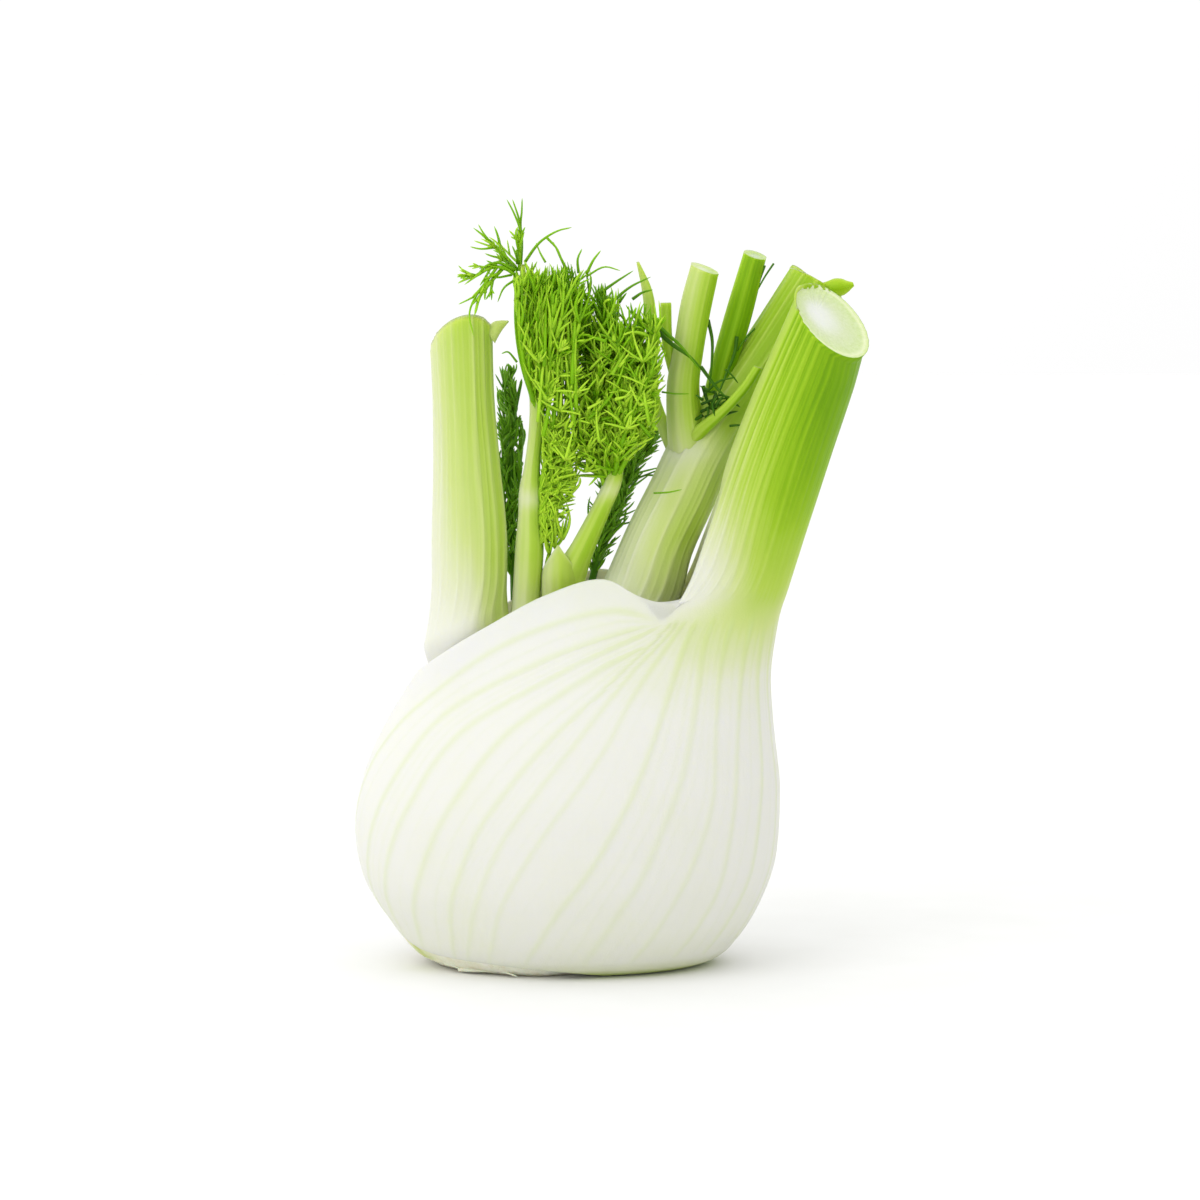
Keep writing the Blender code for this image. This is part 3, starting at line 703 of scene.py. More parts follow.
# Veins on the front of the bulb, each from the foot of the thick stalk down, as
# (degrees, height) points; fine ones lie between them, and the back has their like
VEINS = [
    [(2, 84), (1, 68), (0, 52), (0, 40), (0, 28), (0, 18), (0, 6)],
    [(13, 84), (12, 68), (11, 52), (12, 40), (13, 29), (15, 19), (18, 6)],
    [(24, 84), (23, 68), (23, 52), (26, 40), (28, 29), (30, 19.5), (36, 5)],
    [(33, 84), (34, 75), (35, 63), (38, 48), (41, 32), (44, 18.4), (51, 5)],
    [(43, 84), (45, 76), (46, 60), (48, 42), (54, 27), (61, 14), (68, 4)],
    [(51, 84), (54, 77.4), (54, 66.4), (57, 51.2), (64, 35.9), (71, 22.3), (85, 4)],
    [(58, 83), (61, 77.6), (65, 64), (69, 52.7), (76, 38.6), (86, 23.8), (105, 4)],
    [(62, 83), (66, 78.7), (76, 66), (82, 54), (94, 37.6), (106, 21.2), (119, 4)],
    [(66, 83), (68, 79.4), (79, 70), (90, 56.2), (105, 36.3), (116, 18.4), (128, 4)],
    [(68, 82), (70, 79.6), (84, 68.5), (98, 56.2), (112, 38.5), (121, 22.9), (134, 4)],
    [(69, 81.6), (74, 76.6), (89, 71.3), (110, 58.6), (122, 42.4), (134, 23.3), (150, 6)],
    [(70, 81.4), (80, 78.2), (101, 70.6), (126, 57.7), (138, 40), (150, 22.1), (163, 8)],
    [(71, 81.4), (88, 78.4), (108, 73), (135, 61.7), (148, 45), (160, 26), (172, 9)],
    [(71, 81.5), (90, 84.2), (118, 78), (142, 68), (162, 54), (175, 36), (186, 12)],
]
VEIN_WIDTH = 0.85  # of a main vein, from its middle to where it fades
FINE_WIDTH = 0.40


def vein_tree():
    """A tree of points along every vein, with the width and strength at each."""
    rng = np.random.default_rng(15)
    place = np.linspace(0.0, 6.0, 190)
    fade = ease(place / 0.7) * ease((6.5 - place) / 0.8)
    lines = [through([(k, *point) for k, point in enumerate(vein)])(place) for vein in VEINS]
    spots, kinds = [], []

    def add(way, side, shift, strength, width):
        spots.append(bulb_points(side * (way[:, 0] + shift), way[:, 1], 0.0))
        kinds.append(np.stack((np.full(len(place), width), strength * fade), -1))

    for side in (1.0, -1.0):
        for k, line in enumerate(lines):
            shift = 0.0 if side > 0 else rng.uniform(-3.0, 3.0) * ease(place / 3.0)
            add(line, side, shift, rng.uniform(0.75, 1.0), VEIN_WIDTH * rng.uniform(0.75, 1.2))
            if k + 1 == len(lines):
                continue
            for share in (0.33, 0.66) if rng.random() < 0.55 else (rng.uniform(0.4, 0.6),):
                share = share + 0.05 * np.sin(place * rng.uniform(1.0, 2.0) + rng.uniform(0.0, 6.0))
                between = line + (lines[k + 1] - line) * share[:, None]
                strength = rng.uniform(0.25, 0.55)
                add(between, side, shift, strength, FINE_WIDTH * rng.uniform(0.7, 1.3))
    spots, kinds = np.concatenate(spots), np.concatenate(kinds)
    tree = KDTree(len(spots))
    for k, spot in enumerate(spots):
        tree.insert(spot, k)
    tree.balance()
    return tree, kinds


def vein_amounts(on_bulb):
    """How far each point of the bulb lies on a vein, from 0 to 1."""
    tree, kinds = vein_tree()
    flat = on_bulb.reshape(-1, 3)
    found = [tree.find(point)[1:] for point in flat.tolist()]
    nearest, distance = np.array(found).T
    wide, strength = kinds[nearest.astype(int)].T
    return (strength * bump(distance, 0.0, wide)).reshape(on_bulb.shape[:-1])


# Fibres along the thick stalk: count, seed, width, strength and how far they wander
STALK_FIBRES = [
    (25, 5, 0.50, 1.0, 0.008),
    (57, 6, 0.26, 0.8, 0.005),
    (117, 8, 0.15, 0.8, 0.003),
]
# Rows of points from one place of SHEATH to the next: first, last and count
ROW_RUNS = [
    (0.0, 1.0, 13),
    (1.0, 12.0, 129),
    (12.0, LAST_ROW + TIP_ROWS, 83),
]
LUMPS = [(0.16, 24.0, 3), (0.07, 7.0, 4)]  # depth, size and seed of the bulb's unevenness
FOLD = 0.46  # share of the margin's thickness that its rounding takes off each face
RIBS_FROM = 78.0  # height where the veins start to turn into ribs
RIBS_RISE = 12.0  # height over which they do
PALE_FROM = 60.0  # degrees from the stalk's right side where its pale side starts
PALE_RISE = 55.0  # degrees over which it does
RIB_LEVEL = 0.7  # height of the ribs' middle, as a share of the whole rib
RIB_FRONT = 0.3  # how much of the ribs' relief is left on the dark side


def outer_leaf():
    """The outermost leaf: a sheath round the bulb that closes into the thick stalk."""
    runs = [np.linspace(first, last, count, endpoint=False) for first, last, count in ROW_RUNS]
    rows = np.concatenate((*runs, (ROW_RUNS[-1][1],)))
    u = np.linspace(-1.0, 1.0, SHEATH_STEPS)
    plain, degrees, turn, share, on_bulb = sheath_grid(rows, u, False)
    metric = widths(plain) * (SHEATH_STEPS - 1) / 2
    metric[:, 0] = metric[:, 1]
    metric[:, -1] = metric[:, -2]
    along = np.minimum(rows, LAST_ROW)[:, None] * np.ones_like(u)
    main, fine, hair = (strands(u, metric, *kind, along) for kind in STALK_FIBRES)
    on_stalk = share * np.ones_like(main)
    ribbed = ease((plain[..., 2] - RIBS_FROM) / RIBS_RISE) * ease(on_stalk * 4.0)
    vein = vein_amounts(on_bulb) * (1 - ribbed)
    pale_side = ease((around(turn) - PALE_FROM) / PALE_RISE)
    ribs = np.clip(main * 0.9 + fine * 0.35 + hair * 0.15, 0.0, 1.0)
    ribs = RIB_LEVEL + (ribs - RIB_LEVEL) * (RIB_FRONT + (1 - RIB_FRONT) * pale_side)
    relief = vein + (ribs - vein) * ribbed
    points = sheath_grid(rows, u, False, relief)[0]
    inside = sheath_grid(rows, u[::-1], True)[0]
    lumps = sum(depth * (1 + waves(plain, size, seed)) / 2 for depth, size, seed in LUMPS)
    outward = plain - inside[:, ::-1]
    outward /= np.linalg.norm(outward, axis=-1, keepdims=True)
    points = points - outward * (lumps * (1 - on_stalk))[..., None]
    # Both faces come together at the free margins
    near = np.clip((np.abs(u) - (1 - MARGIN)) / MARGIN, 0.0, 1.0)
    fold = FOLD * (1 - np.sqrt(1 - near**2))[None, :, None] * (1 - share)[..., None]
    middle = (inside[:, ::-1] - points) * fold
    points = points + middle
    inside = inside - middle[:, ::-1]
    # Green of the stalk between its ribs, and a tint where the veins gather at its foot
    z = points[..., 2]
    green = thick_green(points, turn)
    stripes = np.maximum(main, np.maximum(0.8 * fine, 0.5 * hair))
    streaks = np.maximum(fine, 0.6 * main)
    green = green * (1 - (0.10 + 0.33 * pale_side) * stripes * ribbed)
    green = green + 0.05 * (1 - pale_side) * ease((z - 95.0) / 20.0)
    foot = bump(z, 78.0, 12.0) * ease((100.0 - around(degrees)) / 40.0)
    green = green + 0.16 * foot * np.maximum(vein * (1 - ribbed), 0.7 * streaks * ribbed)
    # A little more colour towards the trimmed lower edge
    green = green + 0.025 * ease((30.0 - z) / 30.0) + 0.07 * ease((5.0 - z) / 4.0)
    green = green + 0.16 * ease((2.2 - z) / 1.6)
    within = thick_green(inside, 180.0) * 0.6
    vein = vein * (0.8 + 0.2 * ease(z / 30.0))
    green = np.concatenate((green, within), 1)
    vein = np.concatenate((vein, np.zeros_like(vein)), 1)
    grid = np.concatenate((points, inside), 1)
    lofted(
        "outer_leaf_skin", grid, green, sheath_skin, "outer_leaf", 0.7, 2, vein,
        zipped=SHEATH_STEPS,
    )


# The leaves inside it


def base_points(height, low_x, high_x, place, side):
    """Points of a leaf base that fills the sheath between two planes."""
    left, right, _ = np.moveaxis(bulb_at(height), -1, 0)
    middle, half = (left + right) / 2, (right - left) / 2
    reach = half - (WALL + 2 * GAP) * 0.5
    start = np.degrees(np.arccos(np.clip((high_x - middle) / reach, -0.999, 0.999)))
    end = np.degrees(np.arccos(np.clip((low_x - middle) / reach, -0.999, 0.999)))
    degrees = start + (end - start) * place
    above = height - rim_height(degrees)
    inset = (wall_at(degrees, height) + 5 * GAP) * (1.0 - ease((above - 1.0) / 6.0))
    points = bulb_points(side * degrees, height, inset)
    points[..., 0] = np.clip(points[..., 0], low_x + GAP / 2, high_x - GAP / 2)
    return points


def leaf_grid(line, stations, planes, steps, rows, blend, last, cut, relief, rib=RIB):
    """Loops from a leaf's base inside the sheath to the cut end of its stalk.

    planes gives the x of the base's two sides at a height, blend is the pair of heights
    between which the base turns into the stalk, and the cut starts at the last height.
    """
    top = stations[-1][0]
    heights = np.concatenate((np.linspace(6.5, 60.0, 8)[:-1], np.linspace(60.0, last, rows)))
    tips = np.linspace(0.0, 1.0, 12)[1:]
    heights = np.concatenate((heights, last + (top - last) * tips))
    tip = np.concatenate((np.zeros(len(heights) - len(tips)), tips))
    step = np.arange(2 * steps)
    side = np.where(step < steps, 1.0, -1.0)
    place = (step % steps + 0.5) / steps
    place = np.where(side > 0, place, 1.0 - place)
    height, side = np.meshgrid(heights, side, indexing="ij")
    place = place[None, :] * np.ones_like(height)
    degrees = side * 180.0 * place
    share = ease((height - blend[0]) / (blend[1] - blend[0]))
    low_x, high_x = planes(height)
    raised = relief(height, degrees)
    wave = -rib * share * (1 - raised)
    slant = (cut[0] * tip[:, None], cut[1] * tip[:, None])
    on_stalk = stalk_points(line, height, degrees, wave, slant)
    on_base = base_points(height, low_x, high_x, place, side)
    points = on_base + (on_stalk - on_base) * share[..., None]
    return points, height, degrees


def ribbing(count, seed, mean_radius):
    """A relief of count ribs and finer fibres round a stalk, as a function."""

    def relief(height, degrees):
        turn = degrees / 180.0
        metric = math.pi * mean_radius
        along = height * 0.12
        main = strands(turn, metric, count, seed, 0.55, 1.0, 0.012, along)
        fine = strands(turn, metric, 3 * count, seed + 1, 0.22, 0.8, 0.006, along)
        return np.clip(0.8 * main + 0.45 * fine, 0.0, 1.0)

    return relief


def across_stalk(points, line):
    """Where each point lies across its stalk, from -1 at the left to 1 at the right."""
    x, _, across, _ = np.moveaxis(line(points[..., 2]), -1, 0)
    return np.clip((points[..., 0] - x) / across, -1.0, 1.0)


def side_amount(points, line, left, middle, right):
    """Green by where a point lies across its stalk: left edge, middle, right edge."""
    places = (-1.0, -0.1, 0.75, 1.0)
    return np.interp(across_stalk(points, line), places, (left, middle, right, right))


LEFT_END = -90.0  # x of a plane past the bulb's left edge
# Greens of the left stalk by height: at its left edge, in its middle, at its right edge
LEFT_GREENS = [
    [(70, 0.0), (90, 0.05), (150, 0.20)],
    [(74, 0.0), (86, 0.10), (100, 0.24), (115, 0.33), (150, 0.42)],
    [(68, 0.05), (80, 0.33), (95, 0.42), (150, 0.45)],
]


def left_leaf():
    """The leaf that the sheath clasps at the left, with its stalk cut short."""
    relief = ribbing(12, 21, 8.2)
    points, height, degrees = leaf_grid(
        left_line,
        LEFT_STALK,
        lambda z: (LEFT_END * np.ones_like(z), split_at(z)[..., 0]),
        steps=110,
        rows=120,
        blend=(64.0, 92.0),
        last=136.0,
        cut=(2.2, 6.4),
        relief=relief,
    )
    z = points[..., 2]
    left, middle, right = (straight(greens, z) for greens in LEFT_GREENS)
    place = across_stalk(points, left_line)
    green = left + (middle - left) * ease((place + 1.0) / 0.9)
    green = green + (right - middle) * ease((place + 0.1) / 0.9)
    green = green * (1 - 0.30 * relief(height, degrees))
    lofted("left_leaf_skin", points, green, stalk_skin, "left_leaf", 1.2, 3)


def branch(name, sides, rows, ribs, seed, amounts, stations, foot=0.75, cut=(0.0, 0.0)):
    """A round ribbed branch through (x, y, z, radius) stations, its end cut at a slant.

    amounts are its greens at the left, in the middle and at the right, and foot is the
    share of them at its lower end.
    """
    line = through([(z, x, y, radius, radius) for x, y, z, radius in stations])
    low, high = stations[0][2], stations[-1][2]
    heights = np.linspace(low, high, rows)
    tip = ease((heights - (high - 3.0)) / 3.0)[:, None]
    turn = np.linspace(-180.0, 180.0, sides, endpoint=False)
    height, degrees = np.meshgrid(heights, turn, indexing="ij")
    radius = np.mean([station[3] for station in stations])
    relief = ribbing(ribs, seed + 40, radius)(height, degrees)
    depth = -0.12 * radius * (1 - relief) * 0.6
    points = stalk_points(line, height, degrees, depth, (cut[0] * tip, cut[1] * tip))
    green = side_amount(points, line, *amounts) * (1 - 0.3 * relief)
    green = green * (foot + (1 - foot) * ease((height - low) / (0.4 * (high - low))))
    lofted(name, points, green, stalk_skin, None, 0.25, seed, flesh=0.6)


# Greens of the trunk's left and right sides by height
TRUNK_LEFT = [(70, 0.0), (90, 0.12), (110, 0.22), (119, 0.17), (127, 0.42), (150, 0.56)]
TRUNK_RIGHT = [(78, 0.06), (88, 0.30), (100, 0.44), (119, 0.32), (127, 0.52), (150, 0.64)]

# The branches above the trunk's node: name, sides, rows, ribs, seed, greens and stations,
# then for two of them the share of green at the foot and how the cut rises
BRANCHES = [
    (
        "upright_branch", 80, 110, 8, 5, (0.30, 0.40, 0.64),
        [
            (30.2, 7.4, 112, 5.2),
            (28.8, 6, 120.5, 5),
            (27.8, 5, 127.5, 4.4),
            (27.5, 4.4, 135, 4),
            (28.7, 3.8, 143.5, 3.7),
            (30.6, 3.4, 154.5, 3.75),
            (32.4, 3.2, 162, 3.5),
        ],
        0.50, (-0.8, -0.6),
    ),
    (
        "side_branch", 36, 60, 5, 6, (0.62, 0.60, 0.70),
        [
            (27.5, 5.5, 120, 2.2),
            (31.6, 1.6, 124.6, 1.7),
            (36, -1, 128.6, 1.3),
            (41.4, -2.4, 134.5, 1.2),
            (44.6, -2.6, 139.4, 1.1),
        ],
    ),
    (
        "back_branch", 64, 90, 6, 7, (0.70, 0.82, 0.80),
        [
            (33, 9, 122, 3.4),
            (36.2, 9.4, 136, 3.1),
            (40.2, 9.6, 150, 3.3),
            (44.3, 9.8, 165, 2.9),
        ],
        0.75, (-0.4, -0.8),
    ),
    (
        "pointed_branch", 32, 80, 5, 8, (0.40, 0.46, 0.52),
        [
            (26, 9.5, 118, 1.8),
            (20.6, 10, 132, 1.5),
            (20.2, 9, 146, 1.4),
            (19, 8.4, 157, 1.2),
            (16.9, 8.2, 163.4, 0.35),
        ],
    ),
    (
        "small_stub", 32, 40, 5, 9, (0.55, 0.60, 0.66),
        [(26.5, 4.4, 134, 1.4), (23.9, 4.6, 144, 1.3), (23.4, 4.8, 154, 1.3)],
    ),
]


def forked_leaf():
    """The leaf behind the thick stalk: a trunk with a node and its cut branches."""
    relief = ribbing(10, 31, 7.8)
    points, height, degrees = leaf_grid(
        forked_line,
        FORKED_STALK,
        lambda z: (split_at(z)[..., 2], split_at(z)[..., 3]),
        steps=90,
        rows=130,
        blend=(64.0, 90.0),
        last=151.0,
        cut=(-1.5, 0.9),
        relief=relief,
    )
    z = points[..., 2]
    left = straight(TRUNK_LEFT, z)
    right = straight(TRUNK_RIGHT, z)
    place = across_stalk(points, forked_line)
    green = left + (right - left) * ease((place + 0.8) / 1.5)
    node = bump(z, 120.5, 4.0) * ease((0.7 - place) / 0.8)
    green = green * (1 - 0.32 * relief(height, degrees) * (1 - node)) * (1 - 0.30 * node)
    lofted("forked_leaf_trunk", points, green, stalk_skin, "forked_leaf", 0.8, 4)
    for shape in BRANCHES:
        branch(*shape)


# Splinters and folded strips of the trimmed root: ((x, z) points, depths, thickness)
SHAVINGS = [
    (
        [(-24.4, 0.9), (-20.4, 1), (-15.8, 1.2), (-13.2, 1), (-10.7, 0.45)],
        (-15.4, -22.6),
        0.72,
    ),
    ([(-27.8, 1.9), (-25.6, 1.5), (-23.2, 0.8)], (-13, -16.2), 0.5),
]
LOW_LOOPS = [(0.0, 0.4), (0.12, 0.12), (0.25, 0.0)]  # share of LOW_HEIGHT and inset
LOW_HEIGHT = 1.8


def root_plate():
    """The trimmed root plate: it shows below the sheath on the left."""
    inner = WALL + 2.5 * GAP
    turn = np.linspace(0.0, 360.0, 480, endpoint=False)
    outer = inner + (0.45 - inner) * ease((around(turn) - 80.0) / 25.0)
    lip = np.clip(trim_height(turn) + 0.12, 0.9, PLATE_TOP + 2.4)
    flat = np.ones_like(turn)
    loops = [bulb_points(turn, low * LOW_HEIGHT * flat, outer + more) for low, more in LOW_LOOPS]
    for share in np.linspace(0.3, 1.0, 20):
        height = 0.45 + (lip - 0.45) * share
        loops.append(bulb_points(turn, height, outer + 0.05 * share))
    loops.append(bulb_points(turn, lip + 0.05, (inner + 0.9) * flat))
    loops.append(bulb_points(turn, np.maximum(lip + 0.05, PLATE_TOP), (inner + 1.4) * flat))
    grid = np.array(loops)
    shaved = 0.30 * (1 + waves(grid, 2.4, 12)) / 2 + 0.16 * (1 + waves(grid, 0.9, 13)) / 2
    shaved = shaved + 0.20 * ease(waves(grid * (1.0, 1.0, 0.3), 1.3, 14))
    row = np.arange(len(grid))
    shaved = shaved * ((row > 0) * (1 - 0.85 * ease((row - 10.0) / 12.0)))[:, None]
    centre = grid.mean(1, keepdims=True)
    out = grid - centre
    out[..., 2] = 0.0
    out /= np.linalg.norm(out, axis=-1, keepdims=True)
    grid = grid - out * shaved[..., None]
    fresh = bump(turn[None, :], 158.0, 9.0) * ease((grid[..., 2] - 1.5) / 1.5)
    # Darker tan in the lowest 0.8 mm, where the plate meets the floor
    bottom_tan = 0.8 * ease((0.8 - grid[..., 2]) / 0.7)
    lofted("root_plate_flesh", grid, fresh, root_cream, "root_plate", 0.1, 6, bottom_tan)
    shavings = Threads()
    for points, depths, thick in SHAVINGS:
        shavings.add(flat_path(points, depths), thick, 0.15, 0.0, 6)
    shavings.piece("root_shavings", root_cream, "root")


# Fronds

THREAD_SIDES = 5
OBSTACLES = [
    (thick_line, 70.0, 152.0),
    (left_line, 70.0, 153.0),
    (forked_line, 70.0, 164.0),
]
CLEAR = 0.5  # room that a thread leaves to a stalk
THREAD = (0.34, 0.50)  # least and greatest radius of a thread where it starts
THREAD_TIP = 0.2  # what its radius tapers to
THREAD_POINT = 0.06  # radius of the very end


def free_of_stalks(points):
    """True where a thread's points all clear the thick stalks."""
    for line, low, high in OBSTACLES:
        inside = points[(points[:, 2] >= low) & (points[:, 2] <= high)]
        if len(inside):
            x, y, across, depth = np.moveaxis(line(inside[:, 2]), -1, 0)
            size = ((inside[:, 0] - x) / (across + CLEAR)) ** 2
            size += ((inside[:, 1] - y) / (depth + CLEAR)) ** 2
            if (size < 1.0).any():
                return False
    return True


def in_range(value, low, high):
    return (value > low) & (value < high)


def unit(vector):
    vector = np.asarray(vector, float)
    return vector / np.linalg.norm(vector)


def bent(start, way, length, sag, curl, count=7):
    """Points of a thread that leaves start along way and bends by sag and curl."""
    t = np.linspace(0.0, 1.0, count)[:, None]
    side = unit(np.cross(way, (0.13, 0.21, 1.0)))
    bow = np.asarray(sag) * t**2 + side * curl * np.sin(t * math.pi * 0.8)
    return start + way * length * t + bow * length


class Threads:
    """Collects tapered threads and makes one mesh of them."""

    def __init__(self):
        self.points = []
        self.faces = []
        self.tones = []
        self.total = 0

    def add(self, path, thick, thin, tone, sides=THREAD_SIDES):
        path = np.asarray(path, float)
        count = len(path)
        ahead = np.gradient(path, axis=0)
        ahead /= np.linalg.norm(ahead, axis=1, keepdims=True)
        across = unit(np.cross(ahead[0], (0.31, 0.17, 0.93)))
        rings = []
        for k in range(count):
            across = across - ahead[k] * across.dot(ahead[k])
            across /= np.linalg.norm(across)
            above = np.cross(ahead[k], across)
            share = k / (count - 1)
            radius = thick + (thin - thick) * share**1.3
            if k == count - 1:
                radius = THREAD_POINT
            angle = np.linspace(0.0, 2 * math.pi, sides, endpoint=False)
            flat = np.cos(angle)[:, None] * across + 0.8 * np.sin(angle)[:, None] * above
            rings.append(path[k] + radius * flat)
        self.points.append(np.concatenate(rings))
        quads = closed_faces(count, sides) + self.total
        self.faces.extend(quads.tolist())
        self.faces.append((np.arange(sides)[::-1] + self.total).tolist())
        self.faces.append((np.arange(sides) + self.total + (count - 1) * sides).tolist())
        shade = tone + 0.18 * np.repeat(np.linspace(-0.5, 1.0, count), sides)
        self.tones.append(np.clip(shade, 0.0, 1.0))
        self.total += count * sides

    def piece(self, name, material, slot, node=None):
        points = np.concatenate(self.points)
        marks = {"green": np.concatenate(self.tones)}
        made_piece(name, points, self.faces, marks, material, node)


def turned_out(way, turn, lean):
    """A direction that leans from way, towards turn round it."""
    aside = unit(np.cross(way, (0.3, 1.0, 0.2)))
    above = np.cross(way, aside)
    out = aside * math.cos(turn) + above * math.sin(turn)
    return unit(way * math.cos(lean) + out * math.sin(lean))


def ragged(p, seed, size=6.0):
    """How far an edge of the foliage is pushed in or out near each point, -1 to 1."""
    return waves(p, size, seed)


FOLIAGE_MIDDLE = (5.0, -3.5)  # x and y
FOLIAGE_HALF = (17.0, 7.5)  # half of its width and of its depth
EVEN_HEIGHT = 143.0  # where height makes a thread neither darker nor brighter


def outwards(point):
    """Painted shade and light: threads are darker deep inside the foliage and brighter near its outside;
    they are also brighter low down.
    """
    across = (point[0] - FOLIAGE_MIDDLE[0]) / FOLIAGE_HALF[0]
    deep = (point[1] - FOLIAGE_MIDDLE[1]) / FOLIAGE_HALF[1]
    low = min(max((EVEN_HEIGHT - point[2]) * 0.016, -0.16), 0.34)
    return 0.42 * min(math.hypot(across, deep), 1.2) - 0.24 + low


def free(path, territory):
    """True where a thread stays in its territory and clears the thick stalks."""
    return territory(path[1:]) and free_of_stalks(path[1:])


def spray(threads, root, way, count, lean, length, territory, rng, tone, forks=0.45):
    """Threads that fan out from one place round way, some of them forked."""
    turn = rng.uniform(0.0, 6.28)
    for _ in range(count):
        turn += 2.4
        reach = rng.uniform(*length)
        for _ in range(5):
            start_way = turned_out(way, turn + rng.uniform(-0.5, 0.5), rng.uniform(*lean))
            sag = way * rng.uniform(0.0, 0.3) + np.array((0.0, 0.0, rng.uniform(-0.16, 0.04)))
            path = bent(root, start_way, reach, sag, rng.uniform(-0.26, 0.26), 8)
            if free(path, territory):
                break
            turn += 0.8
            reach *= 0.82
        else:
            continue
        shade = tone + rng.uniform(-0.26, 0.30) + outwards(path[4])
        threads.add(path, rng.uniform(*THREAD), THREAD_TIP, shade)
        while rng.random() < forks:
            i = rng.randrange(1, 6)
            ahead = unit(path[i + 1] - path[i])
            fork_way = turned_out(ahead, rng.uniform(0.0, 6.28), rng.uniform(0.35, 0.8))
            share = rng.uniform(0.3, 0.6)
            fork = bent(path[i], fork_way, reach * share, sag, rng.uniform(-0.1, 0.1), 6)
            if free(fork, territory):
                threads.add(fork, THREAD[0], THREAD_TIP, shade + 0.06)


def star(threads, root, territory, rng):
    """Bright threads that fan out all round a place at the front."""
    spray(threads, root, unit((0.1, -0.5, 1.0)), 7, (0.3, 1.5), (4.5, 9.0), territory, rng, 0.66, 0.5)


# Kinds of plume: its rib's radius, the gap between its sprays, the threads of a spray, how
# far they lean from the rib in radians, and their lengths
UPRIGHT_PLUME = (0.75, 3.0, 3, (0.10, 0.60), (7.0, 13.5))
HANGING_PLUME = (0.6, 2.2, 3, (0.3, 1.4), (4.0, 8.5))
TUFT_PLUME = (0.55, 2.3, 2, (0.3, 0.9), (2.6, 6.0))
SPREADING_PLUME = (0.7, 2.7, 4, (0.3, 1.15), (4.5, 9.5))
BACK_PLUME = (0.7, 2.2, 4, (0.25, 1.0), (3.5, 7.5))
# Sprays low down on the stems: threads, their lean and their lengths
LOW_SPRAY = (7, (0.1, 0.7), (5.0, 9.5))
FULL_SPRAY = (9, (0.1, 0.7), (5.0, 9.5))


def plume(threads, path, kind, territory, rng, tone):
    """A leaf's rib with sprays of threads all along it."""
    thick, gap, count, lean, length = kind
    threads.add(path, thick, 0.32, tone + 0.12, 7)
    steps = np.linalg.norm(np.diff(path, axis=0), axis=1)
    reached = np.concatenate(((0.0,), np.cumsum(steps)))
    place = gap * 0.7
    while place < reached[-1]:
        i = min(int(np.searchsorted(reached, place)), len(path) - 1) - 1
        root = path[i] + (path[i + 1] - path[i]) * (place - reached[i]) / steps[i]
        way = unit(path[i + 1] - path[i])
        spray(threads, root, way, count, lean, length, territory, rng, tone)
        place += gap * rng.uniform(0.75, 1.25)
    way = unit(path[-1] - path[-2])
    tone = tone + 0.1
    spray(threads, path[-2], way, count + 1, (0.05, 0.5), length, territory, rng, tone)


def rising(start, end, bow, early=1.8):
    """A path that first leaves its start sideways and then rises to its end."""
    start, end = np.array(start, float), np.array(end, float)
    t = np.linspace(0.0, 1.0, 16)[:, None]
    out = 1.0 - (1.0 - t) ** early
    share = np.concatenate((out, out, t), 1)
    return start + (end - start) * share + np.array(bow) * np.sin(t * math.pi)


def on_line(line, height):
    """The point of a stalk's centre line at a height."""
    x, y = line(height)[:2]
    return np.array((float(x), float(y), height))


MASS_PLANE = 3.2  # x of the plane between the two fronds' foliage, at the bulb's neck


def plane_x(height):
    """x of that plane at a height."""
    return MASS_PLANE + 0.02 * (height - 100.0)


def frond_stem(name, line, stations, planes, blend, last, amounts, pale_at):
    """The stem of a frond, from its base inside the sheath, with a pale joint."""
    relief = ribbing(6, 51, 2.6)
    points, height, degrees = leaf_grid(
        line, stations, planes, 36, 110, blend, last, (0.0, 0.0), relief, 0.16
    )
    z = points[..., 2]
    rise = np.interp(z, (72.0, 84.0, 96.0), (0.0, 0.6, 1.0))
    green = side_amount(points, line, *amounts) * rise
    green = green * (1 - 0.5 * bump(z, pale_at, 2.6))
    green = green * (1 - 0.3 * relief(height, degrees))
    lofted(name, points, green, stalk_skin, None, 0.1, 10)


def flat_path(points, depths):
    """A path from (x, z) pairs, while its y runs from the first depth to the second."""
    t = np.linspace(0.0, len(points) - 1.0, 3 * len(points) + 1)
    smooth = through([(k, *point) for k, point in enumerate(points)])(t)
    return np.stack((smooth[:, 0], np.linspace(*depths, len(t)), smooth[:, 1]), -1)


